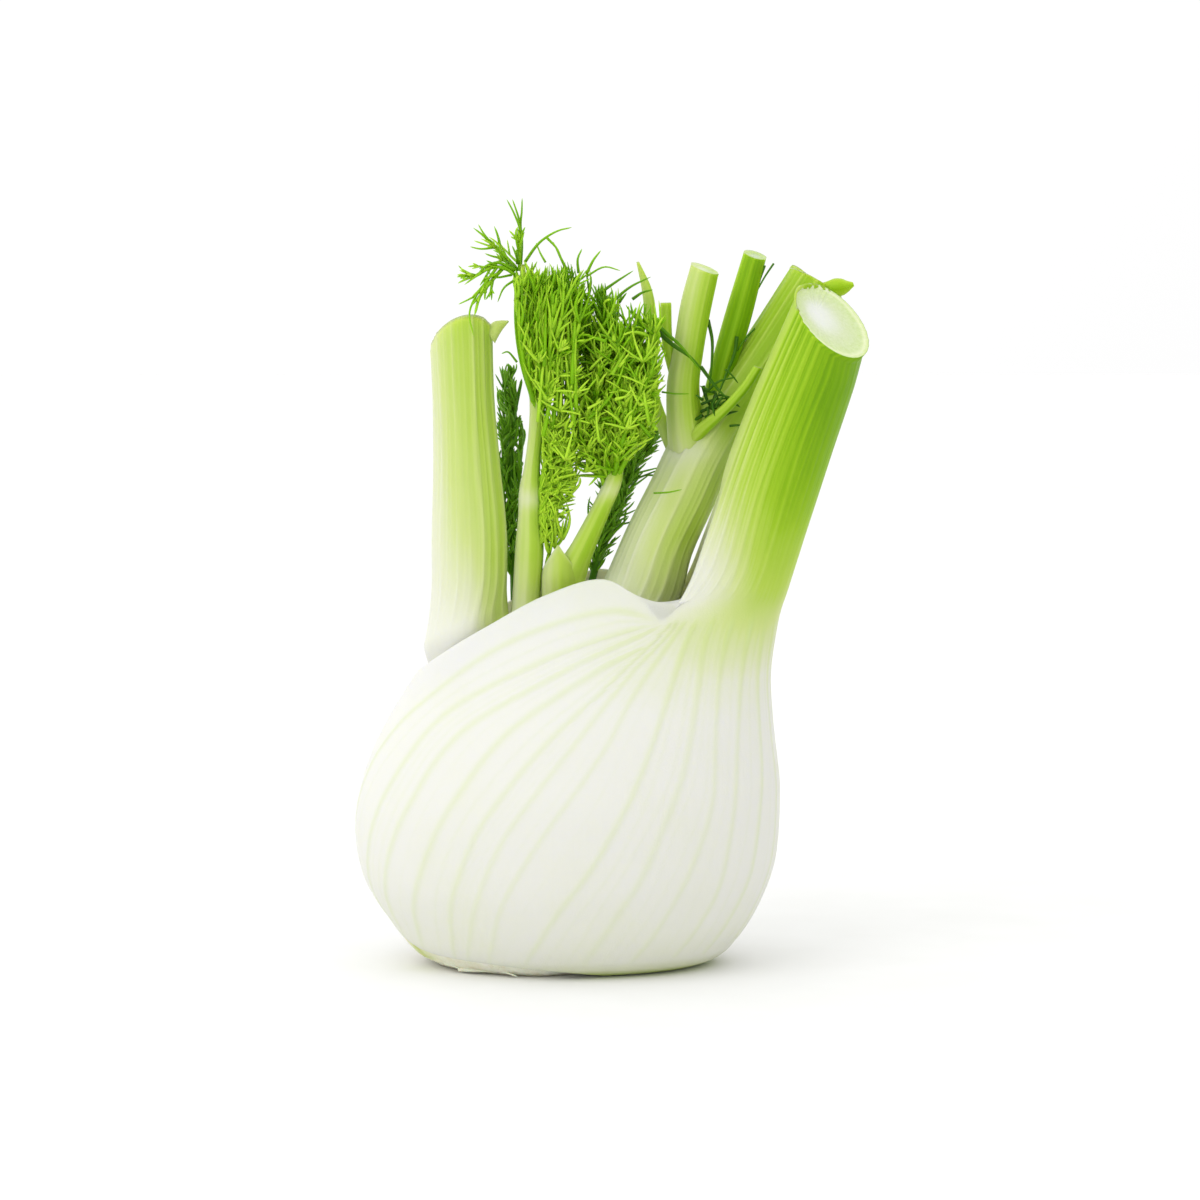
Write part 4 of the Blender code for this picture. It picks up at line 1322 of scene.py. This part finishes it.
# Single threads of the left frond that stand out against the light: ((x, z) points,
# depths, thickness, tone)
TUFT = [
    (
        [(-10.9, 163), (-10.6, 167.5), (-10.3, 171), (-11.6, 174.6), (-13.3, 177.9)],
        (-1.5, -2.5), 0.5, 0.30,
    ),
    ([(-10.2, 163), (-9.9, 168), (-10.2, 172), (-9.9, 175), (-9.8, 178.2)], (-1.2, -0.8), 0.5, 0.25),
    ([(-10.2, 172.4), (-11, 175), (-12, 177.9)], (-1, -1.6), 0.36, 0.45),
    ([(-9.2, 163.5), (-6.6, 167.2), (-4.2, 169.3), (-1.4, 170.8), (1.6, 171.5)], (-2, -3), 0.45, 0.45),
    ([(-4.2, 169.2), (-1.8, 166.6), (-0.3, 163.2)], (-2.6, -2), 0.42, 0.55),
    ([(-4.4, 163.5), (-5.6, 165.6), (-6.6, 168)], (-3, -2), 0.36, 0.5),
    (
        [(-11.2, 162.4), (-14.8, 166.2), (-17.4, 168.6), (-18.9, 170.6), (-19.8, 172.2)],
        (-2.5, -4), 0.48, 0.45,
    ),
    ([(-16.2, 166.9), (-19.2, 166.6), (-21.7, 167.1)], (-3.2, -4.2), 0.38, 0.5),
    ([(-11.4, 161.6), (-15, 163.4), (-18.2, 162.6), (-20.4, 160.6), (-24.2, 160.9)], (-3, -5), 0.55, 0.4),
    ([(-20.4, 160.6), (-22.8, 161.4), (-24.4, 162.8)], (-4.6, -5.2), 0.32, 0.45),
    (
        [(-15.4, 162.6), (-17.8, 159.4), (-20.4, 155.8), (-21.8, 151.8), (-20.8, 147)],
        (-4.2, -11.5), 0.45, 0.45,
    ),
    ([(-20.4, 155.9), (-22.2, 155), (-24.3, 154)], (-6.5, -7.5), 0.34, 0.5),
    ([(-12.2, 160.6), (-16, 160), (-18, 161.5)], (-1, 0.5), 0.4, 0.5),
    ([(-11.6, 159.4), (-14, 157.6), (-15.4, 154.4)], (-3.6, -5), 0.4, 0.45),
    ([(-11, 140.6), (-12.9, 142.9), (-14.5, 142.6)], (-4, -5.5), 0.36, 0.35),
    ([(-11.9, 162), (-14.6, 164.6), (-15.8, 167.8)], (-0.5, 1), 0.4, 0.5),
]

# Places at the front of the foliage where bright threads fan out
STARS = [
    (-9.3, -10.8, 128.5),
    (-6, -11.4, 141),
    (-1.2, -11.2, 143.5),
    (1.2, -11.6, 126),
    (-3.8, -10.8, 132),
    (0.2, -11, 118.5),
    (5.3, -11.2, 130.2),
    (8.8, -11.4, 147),
    (8, -11, 122.5),
    (11.6, -11.2, 132.4),
    (14.2, -10.6, 125.5),
    (17.2, -10.8, 131),
    (18, -10.4, 141),
    (12.6, -11.4, 139.8),
    (1.2, -4.6, 121),
    (2.6, -5, 117.6),
    (4.6, -5.2, 115.4),
    (5, -5.4, 119.4),
    (0, -4.8, 116),
    (2.4, -2, 120),
    (-3.2, -8.4, 134),
    (-1, -9.2, 129.6),
    (0.8, -8.6, 136.4),
    (-2.4, -7.4, 125.4),
    (1.8, -9.2, 132.4),
    (-3.6, -6.4, 121.6),
    (-1.2, -8.8, 137.6),
    (0.2, -7, 125),
]


# Plumes of the tuft at the left: ((x, z) points, depths)
TUFT_PLUMES = [
    ([(-11.4, 160.6), (-14.4, 162.4), (-17.6, 162), (-20.4, 160.4), (-22.6, 160.4)], (-3, -5)),
    ([(-14.4, 162), (-17, 159), (-19.4, 155.8), (-20.6, 151.4)], (-3.4, -10.5)),
    ([(-10.8, 161.6), (-14, 165), (-16.8, 167.4)], (-1, -3.4)),
    ([(-10.4, 161.5), (-10.4, 165.5), (-10.6, 169)], (-1.5, -2)),
]
TUFT_FOOT = 153.0  # height above which the left frond spreads over the left stalk


# Left edge of the left frond's foliage: height and x
LEFT_EDGE = [(108, -4.6), (122, -5), (130, -5.8), (137, -8.8), (150, -10.8), (162, -11.8)]


UPRIGHT_THREADS = 90
HANGING_PLUMES = 16
STEM_SPRAYS = (98.0, 100.5, 103.0, 105.5)  # heights on the left frond's stem
LOW_CLUSTERS = [(-3.6, 96.0), (-2.2, 97.5), (-0.6, 99.5)]  # x and z
LOW_CLUSTERS_Y = -3.4
# A small side stalk of the left frond, which carries those clusters
SIDE_STALK = [(-3.5, -1.2, 80.0), (-3.9, -1.7, 88.0), (-3.9, -2.2, 94.0), (-3.4, -2.6, 98.5)]


def left_frond():
    """The slim stem left of the middle and its foliage, up to the highest tip."""
    frond_stem(
        "left_frond_stem",
        slim_line,
        SLIM_STALK,
        lambda z: (split_at(z)[..., 0], split_at(z)[..., 1]),
        blend=(64.0, 86.0),
        last=146.0,
        amounts=(0.22, 0.38, 0.66),
        pale_at=109.0,
    )
    rng = random.Random(3)
    threads = Threads()

    def mass(p):
        x, y, z = p.T
        edge = ragged(p, 71)
        top = 162.4 + 2.6 * ragged(p, 72, 3.0) - 0.12 * np.abs(x + 4.0)
        inside = in_range(x, straight(LEFT_EDGE, z) - 0.7 * edge, plane_x(z) + 2.6 + 2.4 * edge)
        inside &= in_range(y, -11.4 - 1.4 * edge, 3.8 + 0.9 * edge)
        return (inside & in_range(z, 113.5 + 2.0 * edge, top)).all()

    def tuft(p):
        x, y, z = p.T
        inside = in_range(x, -24.9, -6.0) & in_range(y, -12.6, 3.0) & (z < 172.0)
        return (inside & ((x > -12.9) | (z > TUFT_FOOT))).all()

    def hanging(p):
        x, y, z = p.T
        edge = ragged(p, 73, 4.0)
        right = 3.6 + 0.8 * edge - 0.15 * np.maximum(112.0 - z, 0.0)
        inside = in_range(x, -5.6 - 0.7 * edge, right) & in_range(y, -9.5, 4.0)
        return (inside & in_range(z, 94.0, 128.0)).all()

    for row in range(4):
        for column in range(6):
            x = -11.6 + 2.75 * (column + rng.uniform(0.1, 0.9))
            y = -11.2 + 3.6 * (row + rng.uniform(0.1, 0.9))
            foot = on_line(slim_line, rng.uniform(124.0, 140.0))
            top = (x, y, rng.uniform(148.0, 163.0))
            path = rising(foot, top, (rng.uniform(-1.0, 1.0), rng.uniform(-1.0, 1.0), 0.0), 2.6)
            tone = 0.46 + rng.uniform(-0.14, 0.14)
            plume(threads, path, UPRIGHT_PLUME, mass, rng, tone)
    for _ in range(UPRIGHT_THREADS):
        start = (rng.uniform(-12.2, 3.2), rng.uniform(-11.6, 3.6), rng.uniform(122.0, 142.0))
        way = unit((rng.uniform(-0.12, 0.12), rng.uniform(-0.10, 0.10), 1.0))
        length = rng.uniform(14.0, 24.0)
        path = bent(np.array(start), way, length, (0.0, 0.0, 0.0), rng.uniform(-0.06, 0.06), 10)
        if free(path, mass):
            threads.add(path, rng.uniform(0.45, 0.7), 0.25, rng.uniform(0.45, 1.0))
    for k in range(HANGING_PLUMES):
        foot = on_line(slim_line, rng.uniform(101.0, 114.0)) + (1.5, -0.6, 0.0)
        end = (rng.uniform(-4.4, 1.8), rng.uniform(-7.5, 2.4), rng.uniform(104.0 + k, 112.0 + k))
        path = rising(foot, end, (rng.uniform(0.0, 1.4), rng.uniform(-1.0, 1.0), 0.0), 1.6)
        plume(threads, path, HANGING_PLUME, hanging, rng, 0.56)
    for foot in STEM_SPRAYS:
        root = on_line(slim_line, foot) + (2.2, -1.4, 0.0)
        spray(threads, root, unit((0.35, -0.2, 1.0)), *LOW_SPRAY, hanging, rng, 0.6)
    for x, z in LOW_CLUSTERS:
        root = np.array((x, LOW_CLUSTERS_Y, z))
        spray(threads, root, unit((-0.1, -0.1, 1.0)), *FULL_SPRAY, hanging, rng, 0.62)
    threads.add(SIDE_STALK, 1.25, 0.7, 0.85, 10)
    for points, depths in TUFT_PLUMES:
        plume(threads, flat_path(points, depths), TUFT_PLUME, tuft, rng, 0.42)
    for points, depths, thick, tone in TUFT:
        threads.add(flat_path(points, depths), thick, 0.18, tone)
    for x, y, z in STARS:
        if x < plane_x(z):
            star(threads, np.array((x, y, z)), mass, rng)
    threads.piece("left_frond_threads", frond_green, "frond", "left_frond")


# Threads of the centre frond that reach past its foliage, as in TUFT
WISPS = [
    ([(8.1, 156.4), (11.8, 159), (15.8, 161.6)], (-3, -4), 0.5, 0.15),
    ([(10.5, 154), (15, 157.8), (19.8, 160.2)], (-4, -5), 0.5, 0.12),
    ([(15.6, 155), (18, 156.6), (20.3, 157.2)], (-3, -3.5), 0.5, 0.1),
    ([(5, 160.8), (6.6, 164), (8.3, 166.2)], (-2.5, -3), 0.4, 0.45),
    ([(0.6, 161.6), (-0.9, 164.6), (-2.6, 168.2)], (-3.5, -4.4), 0.5, 0.4),
    ([(3.2, 161), (3, 164.2), (4, 166.6)], (-2, -2.6), 0.42, 0.35),
    ([(5, 160.2), (9, 162.4), (12.8, 161.6)], (-2.5, -3), 0.34, 0.5),
    ([(19.6, 150.6), (23.4, 147.2), (27, 144), (31.4, 138.4)], (-3.4, -4.2), 0.75, 0.05),
    ([(22.4, 133.6), (25.4, 133.2), (28.8, 133.2)], (-2.2, -2.6), 0.3, 0.2),
    ([(20.5, 110.4), (24, 110.6), (27, 111.2)], (-5.6, -5), 0.3, 0.3),
    ([(19, 149), (21.5, 146), (23.6, 141)], (-2, -2.8), 0.4, 0.3),
]


# Dark threads in the hollow between the forked leaf's branches, as in TUFT: painted shade for that hollow
AXIL = [
    ([(31.4, 139.4), (35, 134.6), (38.6, 131)], (-1.4, 0.6), 0.6, 0.25),
    ([(21.4, 147.6), (25, 144.4), (29, 141.6), (32.4, 138)], (-2.2, -1.2), 0.8, 0.34),
    ([(32.6, 133.2), (35.6, 135.8), (39.6, 136.8)], (1.2, 2.4), 0.42, 0.25),
    ([(31.6, 130.6), (34.4, 131.6), (38.4, 132)], (0.8, 1.6), 0.45, 0.1),
    ([(31.4, 128.8), (33.6, 130), (35, 133.6)], (1.4, 2), 0.5, 0.05),
    ([(32.4, 127.6), (35.6, 128.8), (37.6, 131.6)], (0.4, 1.2), 0.5, 0.1),
    ([(32, 134.8), (33.2, 131), (35.8, 127.8)], (2.4, 1.4), 0.6, 0.05),
    ([(37.2, 138.6), (38.6, 137.4), (40.2, 135.4)], (1.4, 1.8), 0.35, 0.3),
    ([(38.2, 125.6), (40.6, 125.8), (43.2, 125)], (-0.2, -1.6), 0.4, 0.2),
    ([(33.2, 150), (34.2, 145), (34, 139), (33.4, 133)], (5, 4), 0.6, 0.35),
    ([(40, 146), (39.4, 142), (37.4, 137), (35.4, 132)], (6.4, 4), 0.6, 0.3),
    ([(46.4, 162.6), (45, 158.6), (43.6, 154), (42.4, 149.6)], (8.6, 8.8), 0.45, 0.5),
    ([(48.6, 163), (46.6, 160), (44.6, 156.4)], (8.4, 8.8), 0.3, 0.45),
    ([(44.2, 148), (41.8, 145.4), (40, 142.6)], (6, 6.6), 0.3, 0.4),
]


def flap(name, stations, across, tone):
    """A thin pointed flap of torn skin through (x, y, z, half width) stations."""
    line = through([(i, *station) for i, station in enumerate(stations)])
    row, side = np.meshgrid(
        np.linspace(0.0, len(stations) - 1.0, 24), np.linspace(-1.0, 1.0, 11), indexing="ij"
    )
    x, y, z, half = np.moveaxis(line(row), -1, 0)
    points = np.stack((x, y - 0.5 * half * (1 - side**2), z), -1)
    points = points + np.array(across) * (half * side)[..., None]
    points = points + 0.1 * waves(points, 1.2, 31)[..., None]
    thick = np.zeros(points.shape)
    thick[..., 1] = 0.32 * (1 - 0.7 * side**2)
    green = tone * (1 - 0.25 * (side + row / len(stations)) ** 2 / 2)
    shell(name, points - thick, points + thick, green, stalk_skin)


AXIL_SHREDS = 16
# Where they start in the hollow: lowest and highest x, y and z
AXIL_ROOM = ((31.8, 38.4), (0.3, 1.3), (126.6, 135.0))


def small_parts():
    """Dark threads between the branches that paint the shade in their hollow, and torn skin at two of the
    cuts.
    """
    threads = Threads()
    for points, depths, thick, tone in AXIL:
        threads.add(flat_path(points, depths), thick, 0.2, tone)
    rng = np.random.default_rng(17)
    for _ in range(AXIL_SHREDS):
        start = np.array([rng.uniform(*limits) for limits in AXIL_ROOM])
        way = unit([rng.uniform(-1.0, 1.0), rng.uniform(-0.2, 0.2), rng.uniform(-0.8, 0.9)])
        path = bent(start, way, rng.uniform(2.0, 4.4), 0.0, 0.2)
        threads.add(path, rng.uniform(0.35, 0.6), 0.2, rng.uniform(0.0, 0.35))
    threads.piece("axil_shade_threads", frond_shade, "frond_shade")
    flap(
        "left_skin_flap",
        [(-17.2, -3.4, 146.4, 1.9), (-15.4, -3.8, 148.8, 1.4), (-12.9, -4.0, 150.1, 0.2)],
        across=(-0.6, 0.0, 0.8),
        tone=0.34,
    )
    flap(
        "right_skin_flap",
        [(60.0, 8.4, 156.8, 1.6), (64.0, 7.8, 157.6, 2.1), (67.1, 7.2, 158.2, 0.5)],
        across=(-0.35, 0.0, 0.94),
        tone=0.66,
    )


BASE_LEAF_FOOT = 78.0
BASE_LEAF_TOP = 98.6
BASE_LEAF_MIDDLE = (-0.8, -2.6)  # x and y of the middle of its curl
BASE_LEAF_RADIUS = 4.7


def base_leaf():
    """The short pointed leaf that clasps the leaning stalk's foot."""
    degrees, share = np.meshgrid(np.linspace(205.0, 5.0, 72), np.linspace(0.0, 1.0, 40))
    top = BASE_LEAF_TOP - 0.09 * np.abs(degrees - 102.0)
    z = BASE_LEAF_FOOT + (top - BASE_LEAF_FOOT) * share
    rib = 0.14 * np.cos(np.radians(degrees) * 16.0) * (1 - share)
    narrow = 1.0 * ease((z - 90.0) / 8.0)

    def face(inset):
        radius = BASE_LEAF_RADIUS - narrow - inset + rib
        x = BASE_LEAF_MIDDLE[0] + radius * np.cos(np.radians(degrees))
        y = BASE_LEAF_MIDDLE[1] - radius * np.sin(np.radians(degrees))
        return np.stack((x, y, z), -1)

    edge = bump(degrees, 205.0, 26.0) + bump(share, 1.0, 0.05)
    green = 0.24 + 0.22 * ease((140.0 - degrees) / 60.0) - 0.12 * edge + 0.05 * rib / 0.14
    shell("base_leaf", face(0.0), face(0.55 - 0.35 * share**4), green, stalk_skin)


SPREADING_PLUMES = 44
LOOSE_THREADS = 140


def centre_frond():
    """The leaning stem in the middle and its foliage."""
    frond_stem(
        "centre_frond_stem",
        leaning_line,
        LEANING_STALK,
        lambda z: (split_at(z)[..., 1], split_at(z)[..., 2]),
        blend=(64.0, 84.0),
        last=113.0,
        amounts=(0.36, 0.50, 0.68),
        pale_at=111.0,
    )
    rng = random.Random(7)
    threads = Threads()

    def mass(p):
        x, y, z = p.T
        edge = ragged(p, 75)
        foot = 111.5 + 1.6 * edge + 0.9 * np.maximum(x - 8.1, 0.0)
        top = 160.0 + 2.0 * ragged(p, 76, 3.0) - 0.3 * np.maximum(x - 4.0, 0.0)
        right = 23.0 + 1.6 * ragged(p, 77, 3.6)
        inside = in_range(x, plane_x(z) - 2.6 - 1.4 * edge, right) & in_range(z, foot, top)
        return (inside & in_range(y, -11.2 - 1.4 * edge, 4.4 + 0.9 * edge)).all()

    for _ in range(SPREADING_PLUMES):
        foot = on_line(leaning_line, rng.uniform(108.0, 118.0))
        x = rng.uniform(2.6, 22.6)
        end = (x, rng.uniform(-11.4, 4.2), rng.uniform(124.0 + 0.4 * x, 156.0 - 0.3 * x))
        bow = (rng.uniform(-3.5, 3.5), rng.uniform(-3.0, 3.0), 0.0)
        path = rising(foot, end, bow, rng.uniform(1.2, 2.2))
        if free(path[2:], mass):
            tone = 0.42 + rng.uniform(-0.2, 0.2)
            plume(threads, path, SPREADING_PLUME, mass, rng, tone)
    for _ in range(LOOSE_THREADS):
        start = (rng.uniform(4.5, 21.5), rng.uniform(-11.0, 3.6), rng.uniform(118.0, 148.0))
        way = turned_out(np.array((0.0, 0.0, 1.0)), rng.uniform(0.0, 6.28), rng.uniform(0.2, 1.5))
        sag = (0.0, rng.uniform(-0.2, 0.2), rng.uniform(-0.5, 0.3))
        path = bent(np.array(start), way, rng.uniform(8.0, 15.0), sag, rng.uniform(-0.3, 0.3), 12)
        if free(path, mass):
            threads.add(path, rng.uniform(0.4, 0.6), 0.25, rng.uniform(0.4, 1.0))
    for points, depths, thick, tone in WISPS:
        threads.add(flat_path(points, depths), thick, 0.18, tone)
    for x, y, z in STARS:
        if x >= plane_x(z):
            star(threads, np.array((x, y, z)), mass, rng)
    threads.piece("centre_frond_threads", frond_green, "frond", "centre_frond")


def back_frond(name, stem, ends, territory, seed):
    """A frond behind the stalks, on its own slim stem, in darker greens that paint its shade.

    ends has, for each plume, the height on the stem where it starts and its tip.
    """
    threads = Threads()
    rng = random.Random(seed)
    line = through([(z, x, y) for x, y, z in stem])
    z = np.linspace(stem[0][2], stem[-1][2], 16)
    path = np.concatenate((line(z), z[:, None]), 1)
    threads.add(path, 1.15, 0.6, 0.4, 8)
    for height, end in ends:
        bow = (rng.uniform(-0.6, 0.6), rng.uniform(-0.6, 0.6), 0.0)
        rib = rising(on_line(line, height), end, bow, 1.5)
        plume(threads, rib, BACK_PLUME, territory, rng, 0.4)
    threads.piece(name + "_threads", frond_shade, "frond_shade", name)


# Right edge of the back left frond's foliage, beside the left stalk: height and x
BACK_LEFT_EDGE = [(100, -10.6), (117, -9.8), (121, -9.2), (127, -9.6), (129, -11.3)]


def back_fronds():
    """The two sprays of foliage behind the stalks, in darker greens that paint their shade."""

    def left_room(p):
        x, y, z = p.T
        inside = in_range(x, -16.4, straight(BACK_LEFT_EDGE, z)) & in_range(y, 8.2, 18.8)
        return (inside & in_range(z, 86.5, 139.5)).all()

    def right_room(p):
        x, y, z = p.T
        return (in_range(x, 5.0, 23.8) & in_range(y, 8.2, 19.8) & in_range(z, 88.5, 125.5)).all()

    back_frond(
        "back_left_frond",
        [(-12.0, 11.5, 84.0), (-12.4, 12.0, 100.0), (-12.8, 12.5, 118.0), (-12.6, 12.5, 132.0)],
        [
            (88.0, (-14.4, 10.6, 104.0)),
            (90.0, (-10.6, 12.6, 103.0)),
            (97.0, (-14.8, 13.6, 113.0)),
            (100.0, (-10.6, 10.4, 114.0)),
            (106.0, (-14.6, 11.0, 123.0)),
            (110.0, (-10.2, 14.6, 123.0)),
            (112.0, (-14.6, 15.6, 129.0)),
            (118.0, (-11.4, 10.6, 132.0)),
            (121.0, (-14.0, 12.4, 135.0)),
            (124.0, (-10.2, 12.8, 136.0)),
            (127.0, (-12.6, 15.0, 137.0)),
        ],
        left_room,
        seed=11,
    )
    back_frond(
        "back_right_frond",
        [(5.6, 9.8, 86.0), (7.4, 11.2, 93.0), (11.4, 13.8, 105.0), (16.0, 15.8, 116.0)],
        [
            (89.0, (8.6, 10.2, 100.0)),
            (91.0, (6.8, 13.0, 101.0)),
            (94.0, (11.4, 11.4, 106.0)),
            (97.0, (9.4, 14.6, 108.0)),
            (100.0, (14.0, 13.0, 111.0)),
            (103.0, (12.2, 16.0, 114.0)),
            (106.0, (16.6, 14.0, 117.0)),
            (109.0, (14.6, 17.4, 119.0)),
            (112.0, (19.4, 15.4, 121.0)),
            (114.0, (17.4, 17.6, 123.0)),
            (115.5, (21.6, 16.2, 124.0)),
        ],
        right_room,
        seed=13,
    )


# Floor, light and camera

PIXEL = 0.2326  # millimetres in one pixel of the photograph, at the bulb's middle
PICTURE = 1200
LENS = 135.0
SENSOR = 36.0
ELEVATION = 5.5  # degrees
AIM = (8.14, 0.0, 85.1)
SKY_BRIGHT = (-0.75, -0.1, 0.65)  # the way that the soft light is strongest from
SKY_LEVEL = 1.06
SKY_SPREAD = 0.30
KEY_PLACE = (-0.45, -0.55, 0.85)  # metres, like its aim and its size
KEY_AIM = (0.01, 0.0, 0.08)
KEY_SIZE = 0.7
KEY_POWER = 1.6  # watts
FLOOR_HALF = 3.0  # metres


def floor():
    """A pale floor that runs out of sight."""
    side = FLOOR_HALF
    mesh = bpy.data.meshes.new("floor")
    corners = [(-side, -side, 0.0), (side, -side, 0.0), (side, side, 0.0), (-side, side, 0.0)]
    mesh.from_pydata(corners, [], [(0, 1, 2, 3)])
    look = Shader("floor_white")
    look.set(Roughness=0.75, Specular_IOR_Level=0.2)
    grain = look.noise(40.0, 3.0)
    white = look.ramp(grain, [(0.3, (0.84, 0.84, 0.83)), (0.7, (0.86, 0.86, 0.855))])
    look.feed("Base Color", white)
    mesh.materials.append(look.material)
    made = bpy.data.objects.new("floor", mesh)
    bpy.context.scene.collection.objects.link(made)


def key_light():
    """The soft lamp at the upper left, in front."""
    light = bpy.data.lights.new("key", "AREA")
    light.shape = "DISK"
    light.size = KEY_SIZE
    light.energy = KEY_POWER
    made = bpy.data.objects.new("key", light)
    bpy.context.scene.collection.objects.link(made)
    made.location = KEY_PLACE
    ray = Vector(KEY_AIM) - Vector(KEY_PLACE)
    made.rotation_euler = ray.to_track_quat("-Z", "Y").to_euler()


def studio():
    """White surroundings that are brighter at the upper left, the lamp and the camera."""
    scene = bpy.context.scene
    scene.view_settings.view_transform = "Standard"
    world = bpy.data.worlds.new("studio")
    scene.world = world
    world.use_nodes = True
    tree = world.node_tree
    direction = tree.nodes.new("ShaderNodeTexCoord").outputs["Generated"]
    facing = tree.nodes.new("ShaderNodeVectorMath")
    facing.operation = "DOT_PRODUCT"
    facing.inputs[1].default_value = SKY_BRIGHT
    level = tree.nodes.new("ShaderNodeMath")
    level.operation = "MULTIPLY_ADD"
    level.inputs[1].default_value = SKY_SPREAD
    level.inputs[2].default_value = SKY_LEVEL
    tree.links.new(direction, facing.inputs[0])
    tree.links.new(facing.outputs["Value"], level.inputs[0])
    tree.links.new(level.outputs["Value"], tree.nodes["Background"].inputs["Strength"])
    tree.nodes["Background"].inputs["Color"].default_value = (1.0, 1.0, 1.0, 1.0)
    key_light()
    camera = bpy.data.objects.new("camera", bpy.data.cameras.new("camera"))
    scene.collection.objects.link(camera)
    camera.data.lens = LENS
    camera.data.sensor_width = SENSOR
    camera.data.clip_start = 0.01
    camera.data.clip_end = 20.0
    distance = LENS / SENSOR * PIXEL * PICTURE
    lift = math.radians(ELEVATION)
    back = Vector((0.0, -math.cos(lift), math.sin(lift)))
    camera.location = (Vector(AIM) + back * distance) * MM
    camera.rotation_mode = "QUATERNION"
    camera.rotation_quaternion = (-back).to_track_quat("-Z", "Y")
    scene.camera = camera


outer_leaf()
left_leaf()
forked_leaf()
root_plate()
left_frond()
centre_frond()
base_leaf()
small_parts()
back_fronds()
floor()
studio()
